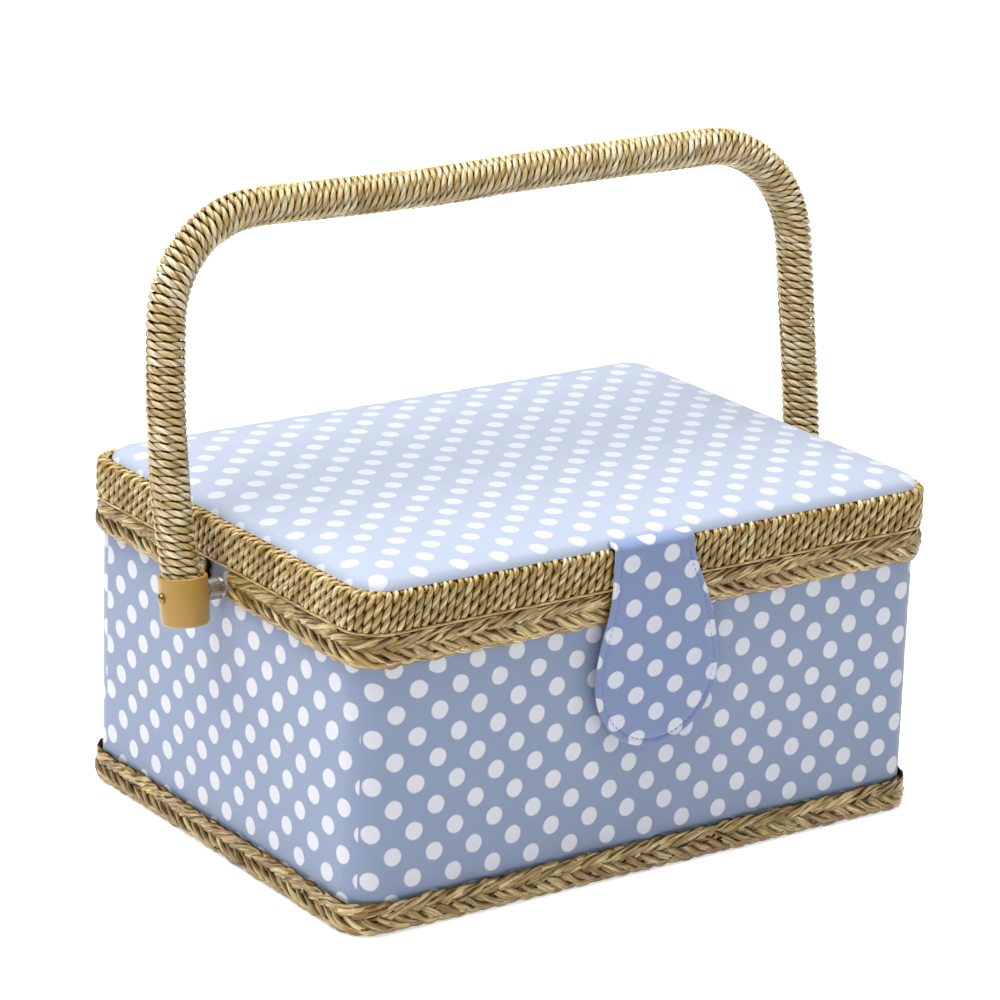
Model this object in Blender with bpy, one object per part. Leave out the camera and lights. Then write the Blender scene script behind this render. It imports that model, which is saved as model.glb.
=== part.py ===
# Fabric sewing basket: a board box in dotted cloth, a padded lid on laced cord
# hinges, a flap with a magnet, and an arched handle wound with paper cord.
# Metres, +Z up. +X runs along the front, which faces -Y. The origin is the
# centre of the underside.

import math

import bmesh
import bpy
import numpy as np
from mathutils import Matrix, Vector

MM = 0.001

# Whole basket
LID_LENGTH = 310 * MM
LID_DEPTH = 231 * MM
LID_CORNER = 17 * MM
BOX_HEIGHT = 135.4 * MM
FIT_GAP = 0.3 * MM          # between pieces that touch
CUT_OVERRUN = 2 * MM        # how far a cutter runs past what it cuts
MERGE_DISTANCE = 0.001 * MM
CORNER_STEPS = 6            # faces round a corner of the box
ROUND_STEPS = 16            # faces round a turned piece
CREASE = 40                 # degrees; sharper edges of a hard piece show
SOFT_CREASE = 60            # degrees, for cord, cloth and foam

# Box
BODY_INSET = 3.5 * MM       # from the rim's outline to the cloth
BODY_CORNER = 14 * MM
CLOTH = 0.6 * MM
WALL = 3 * MM
BASE_BOARD = 3 * MM
BASE_COVER = 0.8 * MM
FLOOR_PAD = 2 * MM
LINING = 1.5 * MM
LEDGE = 2.5 * MM
TRAY_DROP = 30.7 * MM       # from the box's top edge to where the tray rests

# Braids round the box
TOP_BRAID_HEIGHT = 15.4 * MM
TOP_BRAID = 2.6 * MM
BOTTOM_BRAID_HEIGHT = 14 * MM
BOTTOM_BRAID = 2.4 * MM
BRAID_GAP = 18 * MM         # left open at each handle spacer

# Tray
TRAY_WALL = 1.6 * MM
TRAY_DEPTH = 32 * MM
TRAY_FLANGE = 1.6 * MM
TRAY_LIP = 3.2 * MM         # how far the flange stands out over the ledges
TRAY_CORNER = 6 * MM
TRAY_CLEARANCE = 0.8 * MM   # all round, so that it lifts out
TRAY_NOTCH = 16 * MM        # width of the notch that clears a rivet
TRAY_FRONT_SHARE = 0.42
TRAY_FRONT_POCKETS = 2
TRAY_BACK_POCKETS = 3

# Lid
RIM_HEIGHT = 17.3 * MM
RIM_WRAP = 1.5 * MM
RIM_BOARD = 4 * MM
RIM_ROUND = 1.2 * MM        # the wound edge's rounding
RIM_RIB_PITCH = 8.1 * MM    # two turns of the cord
RIM_RIB_DEPTH = 0.8 * MM
RIM_RIB_LEAN_SHARE = 0.3    # of the pitch, from the bottom edge to the top
LID_BOARD = 3 * MM
LID_BOARD_DROP = 3.8 * MM   # from the rim's top to the board's
LID_LINING = 1.7 * MM
COVER_CLOTH = 0.7 * MM
CROWN_HEIGHT = 5.7 * MM     # of the cushion above the rim
CROWN_SHOULDER = 60 * MM    # from the cushion's edge to its flat top
CUSHION_OVERHANG = 2.2 * MM # over the rim's wound edge

# Pieces under the lid
PINCUSHION_LENGTH = 64 * MM
PINCUSHION_DEPTH = 44 * MM
PINCUSHION_HEIGHT = 8.5 * MM
PINCUSHION_X = 72 * MM
POCKET_LENGTH = 150 * MM
POCKET_DEPTH = 70 * MM
POCKET_CLOTH = 1 * MM
POCKET_X = -55 * MM
ELASTIC_DEPTH = 7 * MM
ELASTIC = 0.9 * MM

# Laced hinges
HINGE_SPACING = 190 * MM
HINGE_CORD_RADIUS = 0.9 * MM
LOOP_STEPS = 20
CORD_SIDES = 6

# Flap
FLAP_CENTRE = -3 * MM
FLAP_NECK = 42 * MM
FLAP_BULB_RADIUS = 33.3 * MM
FLAP_LENGTH = 92.5 * MM
FLAP_NECK_LENGTH = 20 * MM
FLAP_CLOTH = 0.8 * MM
FLAP_STIFFENER = 1.1 * MM
FLAP_HEM = 4 * MM           # from the cloth's edge to the stiffener
FLAP_TUCK = 0.2 * MM        # from the flap's top edge to its hinge line
FLAP_STEPS = 12

# Magnets
MAGNET_RADIUS = 6 * MM
CATCH_MAGNET = 2.4 * MM
FLAP_MAGNET = 0.9 * MM

# Handle
PIVOT_DROP = 11.9 * MM      # from the box's top edge to the handle's pivots
HANDLE_REACH = 162.5 * MM     # pivot to the middle of the crossbar
HANDLE_BEND = 48.3 * MM
HANDLE_TILT = 8.5           # degrees back from upright
CORE_RADIUS = 6 * MM
CORE_TAIL = 8.2 * MM        # below the pivot
WRAP_RADIUS = 8.5 * MM
WRAP_GROOVE = 0.8 * MM
WRAP_PITCH = 3.6 * MM
WRAP_SIDES = 8
WRAP_START = 5.3 * MM       # above the pivot, inside the cap
BEND_STEPS = 8

# End caps and rivets
CAP_RADIUS = 10.8 * MM
CAP_ABOVE = 8.6 * MM
CAP_BELOW = 13 * MM
CAP_ROUND = 2.4 * MM
CAP_LIP = 0.6 * MM
RIVET_RADIUS = 1.6 * MM
RIVET_HEAD_RADIUS = 2.3 * MM
RIVET_HEAD = 1.5 * MM
INNER_HEAD_RADIUS = 3.5 * MM
INNER_HEAD = 1.2 * MM
WASHER_RADIUS = 6 * MM
WASHER = 0.8 * MM
SPACER_RADIUS = 6.5 * MM
SPACER_LENGTH = 7.6 * MM    # between the cloth and the cap

# Places worked out from the sizes above
LID_BOTTOM = BOX_HEIGHT + FIT_GAP
RIM_TOP = LID_BOTTOM + RIM_HEIGHT
BOARD_BOTTOM = BASE_COVER + FIT_GAP
WALL_BOTTOM = BOARD_BOTTOM + BASE_BOARD + FIT_GAP
LINING_BOTTOM = WALL_BOTTOM + FLOOR_PAD + FIT_GAP
LEDGE_TOP = BOX_HEIGHT - TRAY_DROP
HALF_LENGTH = LID_LENGTH / 2
HALF_DEPTH = LID_DEPTH / 2
CLOTH_X = HALF_LENGTH - BODY_INSET
CLOTH_Y = HALF_DEPTH - BODY_INSET
HANDLE_HALF_SPAN = CLOTH_X + FIT_GAP + SPACER_LENGTH + FIT_GAP + CAP_RADIUS
WALL_STEP = CLOTH + FIT_GAP                     # cloth face to board face
LINING_STEP = WALL_STEP + WALL + FIT_GAP
LEDGE_STEP = LINING_STEP + LINING + FIT_GAP
ROOM_STEP = LEDGE_STEP + LEDGE
FRAME_STEP = RIM_WRAP + FIT_GAP                 # rim outline to frame board
SEAT_STEP = FRAME_STEP + RIM_BOARD + FIT_GAP    # rim outline to lid board
HINGE_HEIGHT = BOX_HEIGHT + FIT_GAP / 2
HINGE_LOOP_RADIUS = BODY_INSET - FIT_GAP - HINGE_CORD_RADIUS    # just clears the cloth
PIVOT_HEIGHT = BOX_HEIGHT - PIVOT_DROP
FLAP_HINGE_HEIGHT = RIM_TOP + FIT_GAP + FLAP_CLOTH / 2
FLAP_BACK = HALF_DEPTH + FIT_GAP
FLAP_BULB_HEIGHT = FLAP_HINGE_HEIGHT - FLAP_TUCK - FLAP_LENGTH + FLAP_BULB_RADIUS
PIN_BORE = RIVET_RADIUS + FIT_GAP


def clear_scene():
    for old in list(bpy.data.objects):
        bpy.data.objects.remove(old, do_unlink=True)


def finish(name, colour, roughness, metallic=0.0):
    made = bpy.data.materials.new(name)
    made.use_nodes = True
    shader = made.node_tree.nodes["Principled BSDF"]
    shader.inputs["Base Color"].default_value = (*colour, 1.0)
    shader.inputs["Roughness"].default_value = roughness
    shader.inputs["Metallic"].default_value = metallic
    made.diffuse_color = (*colour, 1.0)
    return made


def mesh_object(name, shape, look, smooth=None):
    """Links a bmesh as a named object with its own copy of a material."""
    bmesh.ops.recalc_face_normals(shape, faces=shape.faces)
    mesh = bpy.data.meshes.new(name)
    shape.to_mesh(mesh)
    shape.free()
    placed = bpy.data.objects.new(name, mesh)
    bpy.context.collection.objects.link(placed)
    if look is not None:
        own = look.copy()
        own.name = name
        mesh.materials.append(own)
    if smooth is not None:
        mesh.shade_smooth()
        mesh.set_sharp_from_angle(angle=math.radians(smooth))
    return placed


def rounded_outline(half_x, half_y, radius, steps=CORNER_STEPS, centre=(0, 0)):
    """Points of a rounded rectangle, anticlockwise from its front right corner."""
    points = []
    for turn, (sx, sy) in enumerate(((1, -1), (1, 1), (-1, 1), (-1, -1))):
        for step in range(steps + 1):
            angle = math.radians(-90 + 90 * turn + 90 * step / steps)
            points.append((centre[0] + sx * (half_x - radius) + radius * math.cos(angle),
                           centre[1] + sy * (half_y - radius) + radius * math.sin(angle)))
    return points


def loft(rows, closed=False, capped=True):
    """Skins rows of points that all have the same count, each row a closed loop."""
    shape = bmesh.new()
    loops = [[shape.verts.new(point) for point in row] for row in rows]
    pairs = list(zip(loops, loops[1:]))
    if closed:
        pairs.append((loops[-1], loops[0]))
    for low, high in pairs:
        for k in range(len(low)):
            after = (k + 1) % len(low)
            shape.faces.new((low[k], low[after], high[after], high[k]))
    if capped and not closed:
        shape.faces.new(loops[0])
        shape.faces.new(loops[-1])
    return shape


def level(outline, height):
    return [(x, y, height) for x, y in outline]


def plate(outline, low, high):
    """A flat piece: the outline as a face, extruded up."""
    shape = bmesh.new()
    face = shape.faces.new([shape.verts.new(point) for point in level(outline, low)])
    raised = bmesh.ops.extrude_face_region(shape, geom=[face])["geom"]
    corners = [part for part in raised if isinstance(part, bmesh.types.BMVert)]
    bmesh.ops.translate(shape, verts=corners, vec=(0, 0, high - low))
    return shape


def band(profile, half_x, half_y, radius):
    """A closed band round the box. The profile is a loop of (outset, height)."""
    rows = [level(rounded_outline(half_x + out, half_y + out, radius + out), height)
            for out, height in profile]
    return loft(rows, closed=True)


def turned(profile, steps=ROUND_STEPS):
    """Spins a line of (radius, height) round +Z. Its ends meet the axis or each other."""
    shape = bmesh.new()
    line = [shape.verts.new((radius, 0, height)) for radius, height in profile]
    edges = [shape.edges.new(pair) for pair in zip(line, line[1:])]
    if profile[0][0] > 0:
        edges.append(shape.edges.new((line[-1], line[0])))
    bmesh.ops.spin(shape, geom=line + edges, cent=(0, 0, 0), axis=(0, 0, 1),
                   angle=math.tau, steps=steps)
    bmesh.ops.remove_doubles(shape, verts=shape.verts, dist=MERGE_DISTANCE)
    return shape


def ring_loop(radius, thickness, steps, sides):
    """A torus whose axis is X."""
    shape = bmesh.new()
    circle = []
    for side in range(sides):
        angle = math.tau * side / sides
        circle.append(shape.verts.new((thickness * math.sin(angle),
                                       radius + thickness * math.cos(angle), 0)))
    edges = [shape.edges.new((circle[k], circle[(k + 1) % sides])) for k in range(sides)]
    bmesh.ops.spin(shape, geom=circle + edges, cent=(0, 0, 0), axis=(1, 0, 0),
                   angle=math.tau, steps=steps)
    bmesh.ops.remove_doubles(shape, verts=shape.verts, dist=MERGE_DISTANCE)
    return shape


def block(low, high):
    size = Vector(high) - Vector(low)
    middle = (Vector(high) + Vector(low)) / 2
    shape = bmesh.new()
    bmesh.ops.create_cube(shape, size=1, matrix=Matrix.Translation(middle) @ Matrix.Diagonal((*size, 1)))
    return shape


def lay_along_x(shape, start, sign):
    """Turns a piece made round +Z so that its height runs outwards along X."""
    turn = Matrix(((0, 0, sign, 0), (0, 1, 0, 0), (-sign, 0, 0, 0), (0, 0, 0, 1)))
    bmesh.ops.transform(shape, matrix=Matrix.Translation(start) @ turn, verts=shape.verts)
    return shape


def stand_on_front(shape, back):
    """Turns a piece drawn flat in x, y so that it stands in x, z, its height outwards."""
    turn = Matrix(((1, 0, 0, 0), (0, 0, -1, -back), (0, 1, 0, 0), (0, 0, 0, 1)))
    bmesh.ops.transform(shape, matrix=turn, verts=shape.verts)
    return shape


def cutter(name, shape):
    tool = mesh_object(name, shape, None)
    tool.hide_render = True
    tool.display_type = "WIRE"
    return tool


def cut(target, tool):
    hole = target.modifiers.new(tool.name, "BOOLEAN")
    hole.operation = "DIFFERENCE"
    hole.solver = "EXACT"
    hole.object = tool


def axis_empty(name, place, tilt=0):
    pivot = bpy.data.objects.new(name, None)
    bpy.context.collection.objects.link(pivot)
    pivot.location = place
    pivot.rotation_euler = (math.radians(-tilt), 0, 0)
    return pivot


def carry(pivot, pieces, place=None):
    """Parents pieces to a pivot. Pieces drawn in the basket's frame keep their place."""
    for piece in pieces:
        if place is not None:
            piece.data.transform(Matrix.Translation(-Vector(place)))
        piece.parent = pivot


def make_finishes():
    return {
        "dotted_cloth": finish("dotted_cloth", (0.30, 0.40, 0.62), 0.85),
        "lid_cloth": finish("lid_cloth", (0.52, 0.62, 0.82), 0.85),
        "paper_cord": finish("paper_cord", (0.58, 0.46, 0.22), 0.55),
        "braid": finish("braid", (0.55, 0.42, 0.20), 0.6),
        "board": finish("board", (0.45, 0.33, 0.2), 0.8),
        "card": finish("card", (0.6, 0.55, 0.45), 0.85),
        "lining_cloth": finish("lining_cloth", (0.82, 0.80, 0.74), 0.8),
        "foam": finish("foam", (0.85, 0.83, 0.75), 0.9),
        "tray_plastic": finish("tray_plastic", (0.85, 0.87, 0.88), 0.35),
        "cap_plastic": finish("cap_plastic", (0.60, 0.38, 0.12), 0.35),
        "clear_plastic": finish("clear_plastic", (0.85, 0.85, 0.82), 0.2),
        "brass": finish("brass", (0.60, 0.44, 0.20), 0.3, 1.0),
        "steel": finish("steel", (0.55, 0.55, 0.56), 0.35, 1.0),
        "elastic": finish("elastic", (0.88, 0.88, 0.9), 0.8),
    }


def make_base(look):
    """The card cover underneath, the base board and the padded floor."""
    out = CLOTH_X - FIT_GAP, CLOTH_Y - FIT_GAP
    corner = BODY_CORNER - FIT_GAP
    mesh_object("base_cover", plate(rounded_outline(*out, corner), 0, BASE_COVER), look["card"])
    board_corner = BODY_CORNER - WALL_STEP
    outline = rounded_outline(CLOTH_X - WALL_STEP, CLOTH_Y - WALL_STEP, board_corner)
    mesh_object("base_board", plate(outline, BOARD_BOTTOM, BOARD_BOTTOM + BASE_BOARD), look["board"])
    inner_x, inner_y = CLOTH_X - LINING_STEP, CLOTH_Y - LINING_STEP
    outline = rounded_outline(inner_x, inner_y, BODY_CORNER - LINING_STEP)
    mesh_object("floor_pad", plate(outline, WALL_BOTTOM, WALL_BOTTOM + FLOOR_PAD), look["lining_cloth"])


def make_walls(look):
    """Two boards bent round the corners, and a flat one between them at each side."""
    out_x, out_y = CLOTH_X - WALL_STEP, CLOTH_Y - WALL_STEP
    in_x = out_x - WALL
    bend = BODY_CORNER - WALL_STEP
    bend_x, bend_y = out_x - bend, out_y - bend
    walls = {}
    for name, side in (("front_wall", -1), ("back_wall", 1)):
        outline = []
        for radius, order in ((bend, 1), (bend - WALL, -1)):
            arc = []
            for step in range(CORNER_STEPS + 1):
                angle = math.radians(90 * step / CORNER_STEPS)
                arc.append((bend_x + radius * math.cos(angle), bend_y + radius * math.sin(angle)))
            outline += (arc + [(-x, y) for x, y in reversed(arc)])[::order]
        outline = [(x, side * y) for x, y in outline]
        walls[name] = mesh_object(name, plate(outline, WALL_BOTTOM, BOX_HEIGHT), look["board"])
    for name, side in (("left_wall", -1), ("right_wall", 1)):
        low = min(side * in_x, side * out_x), -bend_y + FIT_GAP, WALL_BOTTOM
        high = max(side * in_x, side * out_x), bend_y - FIT_GAP, BOX_HEIGHT
        walls[name] = mesh_object(name, block(low, high), look["board"])
    return walls


def make_cloth_and_lining(look):
    cloth = band([(0, BOARD_BOTTOM), (0, BOX_HEIGHT), (-CLOTH, BOX_HEIGHT), (-CLOTH, BOARD_BOTTOM)],
                 CLOTH_X, CLOTH_Y, BODY_CORNER)
    outer = mesh_object("outer_cloth", cloth, look["dotted_cloth"], CREASE)
    in_x, in_y = CLOTH_X - LINING_STEP, CLOTH_Y - LINING_STEP
    steps = [(0, LINING_BOTTOM), (0, BOX_HEIGHT), (-LINING, BOX_HEIGHT), (-LINING, LINING_BOTTOM)]
    lining = band(steps, in_x, in_y, BODY_CORNER - LINING_STEP)
    lining = mesh_object("wall_lining", lining, look["lining_cloth"], CREASE)
    return outer, lining


def make_ledges(look):
    """Covered boards inside the lining that the tray rests on, from corner to corner."""
    out_x, out_y = CLOTH_X - LEDGE_STEP, CLOTH_Y - LEDGE_STEP
    in_x, in_y = out_x - LEDGE, out_y - LEDGE
    corner = BODY_CORNER - LEDGE_STEP
    for name, side in (("front_ledge", -1), ("back_ledge", 1)):
        low = corner - out_x, min(side * in_y, side * out_y), LINING_BOTTOM
        high = out_x - corner, max(side * in_y, side * out_y), LEDGE_TOP
        mesh_object(name, block(low, high), look["lining_cloth"])
    for name, side in (("left_ledge", -1), ("right_ledge", 1)):
        low = min(side * in_x, side * out_x), corner - out_y, LINING_BOTTOM
        high = max(side * in_x, side * out_x), out_y - corner, LEDGE_TOP
        mesh_object(name, block(low, high), look["lining_cloth"])


def tray_sizes():
    flange_x = CLOTH_X - LEDGE_STEP - TRAY_CLEARANCE
    flange_y = CLOTH_Y - LEDGE_STEP - TRAY_CLEARANCE
    return flange_x, flange_y, flange_x - TRAY_LIP, flange_y - TRAY_LIP


def make_tray(look):
    """A lift-out tray: a flange on the ledges and five pockets."""
    flange_x, flange_y, body_x, body_y = tray_sizes()
    rest = LEDGE_TOP + FIT_GAP
    top = rest + TRAY_FLANGE
    bottom = rest - TRAY_DEPTH
    body = rounded_outline(body_x, body_y, TRAY_CORNER)
    flange = rounded_outline(flange_x, flange_y, TRAY_CORNER + TRAY_LIP)
    rows = [level(body, bottom), level(body, rest), level(flange, rest), level(flange, top)]
    tray = mesh_object("sewing_tray", loft(rows), look["tray_plastic"], CREASE)

    inner_x, inner_y = body_x - TRAY_WALL, body_y - TRAY_WALL
    divide = -inner_y + TRAY_FRONT_SHARE * 2 * inner_y
    pockets = bmesh.new()
    for count, y_low, y_high in ((TRAY_FRONT_POCKETS, -inner_y, divide - TRAY_WALL / 2),
                                 (TRAY_BACK_POCKETS, divide + TRAY_WALL / 2, inner_y)):
        width = (2 * inner_x - (count - 1) * TRAY_WALL) / count
        for k in range(count):
            x = -inner_x + width / 2 + k * (width + TRAY_WALL)
            outline = rounded_outline(width / 2, (y_high - y_low) / 2, TRAY_CORNER - TRAY_WALL, 3,
                                      (x, (y_low + y_high) / 2))
            pocket = plate(outline, bottom + TRAY_WALL, top + CUT_OVERRUN)
            joined = bpy.data.meshes.new("pocket")
            pocket.to_mesh(joined)
            pocket.free()
            pockets.from_mesh(joined)
    cut(tray, cutter("tray_pockets", pockets))
    notch_x = body_x + TRAY_WALL / 2
    for name, side in (("left_notch", -1), ("right_notch", 1)):
        ends = sorted((side * notch_x, side * (flange_x + CUT_OVERRUN)))
        low = ends[0], -TRAY_NOTCH / 2, rest - CUT_OVERRUN
        high = ends[1], TRAY_NOTCH / 2, top + CUT_OVERRUN
        cut(tray, cutter(name, block(low, high)))


def braid_profile(thickness, low, high):
    """A flat braid's section, rounded at its edges: (outset, height)."""
    height = high - low
    edge_share, shoulder_share = 0.55, 0.25
    return [(FIT_GAP, low), (FIT_GAP + edge_share * thickness, low),
            (FIT_GAP + thickness, low + shoulder_share * height),
            (FIT_GAP + thickness, high - shoulder_share * height),
            (FIT_GAP + edge_share * thickness, high), (FIT_GAP, high)]


def make_braids(look):
    """The braid under the lid, left open at the handle spacers, and the one at the foot."""
    profile = braid_profile(TOP_BRAID, BOX_HEIGHT - TOP_BRAID_HEIGHT, BOX_HEIGHT)
    reach = HALF_LENGTH + CUT_OVERRUN
    depth = HALF_DEPTH + CUT_OVERRUN
    halves = {}
    for name, side in (("top_braid_front", -1), ("top_braid_back", 1)):
        half = mesh_object(name, band(profile, CLOTH_X, CLOTH_Y, BODY_CORNER), look["braid"], SOFT_CREASE)
        ends = sorted((side * BRAID_GAP / 2, -side * depth))
        low = -reach, ends[0], BOX_HEIGHT - TOP_BRAID_HEIGHT - CUT_OVERRUN
        high = reach, ends[1], BOX_HEIGHT + CUT_OVERRUN
        cut(half, cutter(name + "_end", block(low, high)))
        halves[name] = half
    low = FIT_GAP
    profile = braid_profile(BOTTOM_BRAID, low, low + BOTTOM_BRAID_HEIGHT)
    mesh_object("bottom_braid", band(profile, CLOTH_X, CLOTH_Y, BODY_CORNER), look["braid"], SOFT_CREASE)
    return halves["top_braid_back"]


def make_catch(look, front_wall):
    """A magnet let into the front board, hidden by the cloth."""
    back = CLOTH_Y - WALL_STEP - WALL
    place = FLAP_CENTRE, 0, FLAP_BULB_HEIGHT
    profile = [(0, 0), (MAGNET_RADIUS, 0), (MAGNET_RADIUS, CATCH_MAGNET), (0, CATCH_MAGNET)]
    disc = stand_on_front(turned(profile), back + (WALL - CATCH_MAGNET) / 2)
    bmesh.ops.translate(disc, verts=disc.verts, vec=place)
    mesh_object("catch_magnet", disc, look["steel"], CREASE)
    wide = MAGNET_RADIUS + FIT_GAP
    profile = [(0, -CUT_OVERRUN), (wide, -CUT_OVERRUN), (wide, WALL + CUT_OVERRUN), (0, WALL + CUT_OVERRUN)]
    hole = stand_on_front(turned(profile), back)
    bmesh.ops.translate(hole, verts=hole.verts, vec=place)
    cut(front_wall, cutter("catch_pocket", hole))


def rim_point(along, inset):
    """A point on the rim's outline, moved in by inset, and how far round it lies."""
    radius = LID_CORNER
    run_x, run_y = LID_LENGTH - 2 * radius, LID_DEPTH - 2 * radius
    arc = radius * math.pi / 2
    along = along % (2 * (run_x + run_y) + 4 * arc)
    for turn, run in enumerate((run_x, run_y, run_x, run_y)):
        ahead = Vector((math.cos(turn * math.pi / 2), math.sin(turn * math.pi / 2)))
        out = Vector((ahead.y, -ahead.x))
        corner = Vector(((1, -1, -1, 1)[turn] * (HALF_LENGTH - radius),
                         (-1, -1, 1, 1)[turn] * (HALF_DEPTH - radius)))
        start = Vector(((-1, 1, 1, -1)[turn] * (HALF_LENGTH - radius),
                        (-1, -1, 1, 1)[turn] * (HALF_DEPTH - radius)))
        if along <= run:
            return start + ahead * along + out * (radius - inset)
        along -= run
        if along <= arc:
            angle = along / radius
            heading = out * math.cos(angle) + ahead * math.sin(angle)
            return start + ahead * run + heading * (radius - inset)
        along -= arc
    return corner + out * (radius - inset)


def make_rim_wrap(look):
    """Cord wound round the lid's frame: ribs outside, a channel for the frame inside."""
    perimeter = 2 * (LID_LENGTH + LID_DEPTH - 4 * LID_CORNER) + math.tau * LID_CORNER
    ribs = round(perimeter / RIM_RIB_PITCH)
    pitch = perimeter / ribs
    lean = RIM_RIB_LEAN_SHARE * pitch
    print("rim wrap:", ribs, "ribs, two turns of cord each")
    low, high = LID_BOTTOM, RIM_TOP
    ribbed = []
    for inset, height, lean_share in ((0, low, 0), (0, high - RIM_ROUND, 1), (RIM_ROUND, high, 1)):
        row = []
        for k in range(2 * ribs):
            depth = inset + (RIM_RIB_DEPTH if k % 2 else 0)
            x, y = rim_point(k * pitch / 2 + lean * lean_share, depth)
            row.append((x, y, height))
        ribbed.append(row)
    deep = FRAME_STEP + RIM_BOARD
    plain = []
    for inset, height in ((deep, high), (deep, high - RIM_WRAP), (RIM_WRAP, high - RIM_WRAP),
                          (RIM_WRAP, low + RIM_WRAP), (deep, low + RIM_WRAP), (deep, low)):
        outline = rounded_outline(HALF_LENGTH - inset, HALF_DEPTH - inset, LID_CORNER - inset, 6)
        plain.append(level(outline, height))
    shape = loft(ribbed, capped=False)
    inner = loft(plain, capped=False)
    joined = bpy.data.meshes.new("rim_channel")
    inner.to_mesh(joined)
    inner.free()
    shape.from_mesh(joined)
    for height in (low, high):
        rims = [edge for edge in shape.edges if edge.is_boundary
                and all(abs(vert.co.z - height) < MERGE_DISTANCE for vert in edge.verts)]
        bmesh.ops.triangle_fill(shape, edges=rims, use_beauty=True)
    return mesh_object("lid_rim_wrap", shape, look["paper_cord"], SOFT_CREASE)


def make_lid_boards(look):
    """The frame, the board across it and the lining under it."""
    low = LID_BOTTOM + FRAME_STEP
    high = RIM_TOP - FRAME_STEP
    frame = band([(0, low), (0, high), (-RIM_BOARD, high), (-RIM_BOARD, low)],
                 HALF_LENGTH - FRAME_STEP, HALF_DEPTH - FRAME_STEP, LID_CORNER - FRAME_STEP)
    frame = mesh_object("lid_frame", frame, look["board"], CREASE)
    outline = rounded_outline(HALF_LENGTH - SEAT_STEP, HALF_DEPTH - SEAT_STEP, LID_CORNER - SEAT_STEP)
    top = RIM_TOP - LID_BOARD_DROP
    board = mesh_object("lid_board", plate(outline, top - LID_BOARD, top), look["board"], CREASE)
    under = top - LID_BOARD - FIT_GAP
    lining = plate(outline, under - LID_LINING, under)
    lining = mesh_object("lid_lining", lining, look["lining_cloth"], CREASE)
    return frame, [board, lining], under - LID_LINING


def crown_rows(edge, layer):
    """Rows of the cushion from its seat up over the edge and the crown, one layer in.

    Each step has its outset over the overhang, its rise over the crown's height,
    and how far a layer moves it in and down.
    """
    half_x = HALF_LENGTH - SEAT_STEP
    half_y = HALF_DEPTH - SEAT_STEP
    corner = LID_CORNER - SEAT_STEP
    rows = [(-layer, RIM_TOP - LID_BOARD_DROP + FIT_GAP)]
    for out_share, rise_share, move_in, move_down in edge:
        rows.append((out_share * CUSHION_OVERHANG - move_in * layer,
                     RIM_TOP + rise_share * CROWN_HEIGHT - move_down * layer))
    for in_share, rise_share in ((0.06, 0.56), (0.2, 0.74), (0.5, 0.91), (1.0, 1.0)):
        rows.append((-in_share * CROWN_SHOULDER, RIM_TOP + rise_share * CROWN_HEIGHT - layer))
    loops = []
    for out, height in rows:
        radius = corner - out / 2 if out < -layer else corner + out
        loops.append(level(rounded_outline(half_x + out, half_y + out, radius, 6), height))
    return loops


def make_cushion(look):
    """The lid's foam and the cloth drawn over it, rolled over the rim's inner edge."""
    rolled = ((0, 0.06, 1, -1), (0.75, 0.10, 0.5, -1), (1.0, 0.22, 1, 0), (0.6, 0.40, 0.6, 0.8))
    plain = ((0, 0.46, 1, 1),)
    cover = loft(crown_rows(rolled, COVER_CLOTH)[::-1] + crown_rows(rolled, 0))
    cover = mesh_object("lid_cover", cover, look["lid_cloth"], SOFT_CREASE)
    foam = loft(crown_rows(plain, COVER_CLOTH + FIT_GAP))
    foam = mesh_object("lid_foam", foam, look["foam"], SOFT_CREASE)
    return [cover, foam]


def make_lid_fittings(look, under):
    """A pincushion and an elasticated pocket on the lid's lining."""
    top = under - FIT_GAP
    half_x, half_y = PINCUSHION_LENGTH / 2, PINCUSHION_DEPTH / 2
    seam_share, waist_share = 0.5, 0.88
    rows = []
    for size, rise in ((waist_share, 0), (1.0, seam_share), (waist_share, 0.9), (0.55, 1.0)):
        outline = rounded_outline(half_x * size, half_y * size, half_y * size / 2, 4, (PINCUSHION_X, 0))
        rows.append(level(outline, top - rise * PINCUSHION_HEIGHT))
    pincushion = mesh_object("pincushion", loft(rows), look["dotted_cloth"], SOFT_CREASE)
    outline = rounded_outline(POCKET_LENGTH / 2, POCKET_DEPTH / 2, TRAY_CORNER, 3, (POCKET_X, 0))
    pocket = mesh_object("lid_pocket", plate(outline, top - POCKET_CLOTH, top), look["lining_cloth"])
    edge = -POCKET_DEPTH / 2
    low = POCKET_X - POCKET_LENGTH / 2 + TRAY_CORNER, edge, top - POCKET_CLOTH - FIT_GAP - ELASTIC
    high = POCKET_X + POCKET_LENGTH / 2 - TRAY_CORNER, edge + ELASTIC_DEPTH, top - POCKET_CLOTH - FIT_GAP
    elastic = mesh_object("pocket_elastic", block(low, high), look["elastic"])
    return [pincushion, pocket, elastic]


def make_hinges(look, passed_by):
    """Cord loops through the lid's rim and the braid, round the hinge line."""
    loops = []
    for name, side in (("left", -1), ("right", 1)):
        place = Vector((side * HINGE_SPACING / 2, HALF_DEPTH, HINGE_HEIGHT))
        loop = ring_loop(HINGE_LOOP_RADIUS, HINGE_CORD_RADIUS, LOOP_STEPS, CORD_SIDES)
        bmesh.ops.translate(loop, verts=loop.verts, vec=place)
        loops.append(mesh_object("hinge_cord_" + name, loop, look["paper_cord"], SOFT_CREASE))
        way = ring_loop(HINGE_LOOP_RADIUS, HINGE_CORD_RADIUS + FIT_GAP, LOOP_STEPS, CORD_SIDES)
        bmesh.ops.translate(way, verts=way.verts, vec=place)
        channel = cutter("hinge_channel_" + name, way)
        for piece in passed_by:
            cut(piece, channel)
    return loops


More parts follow.
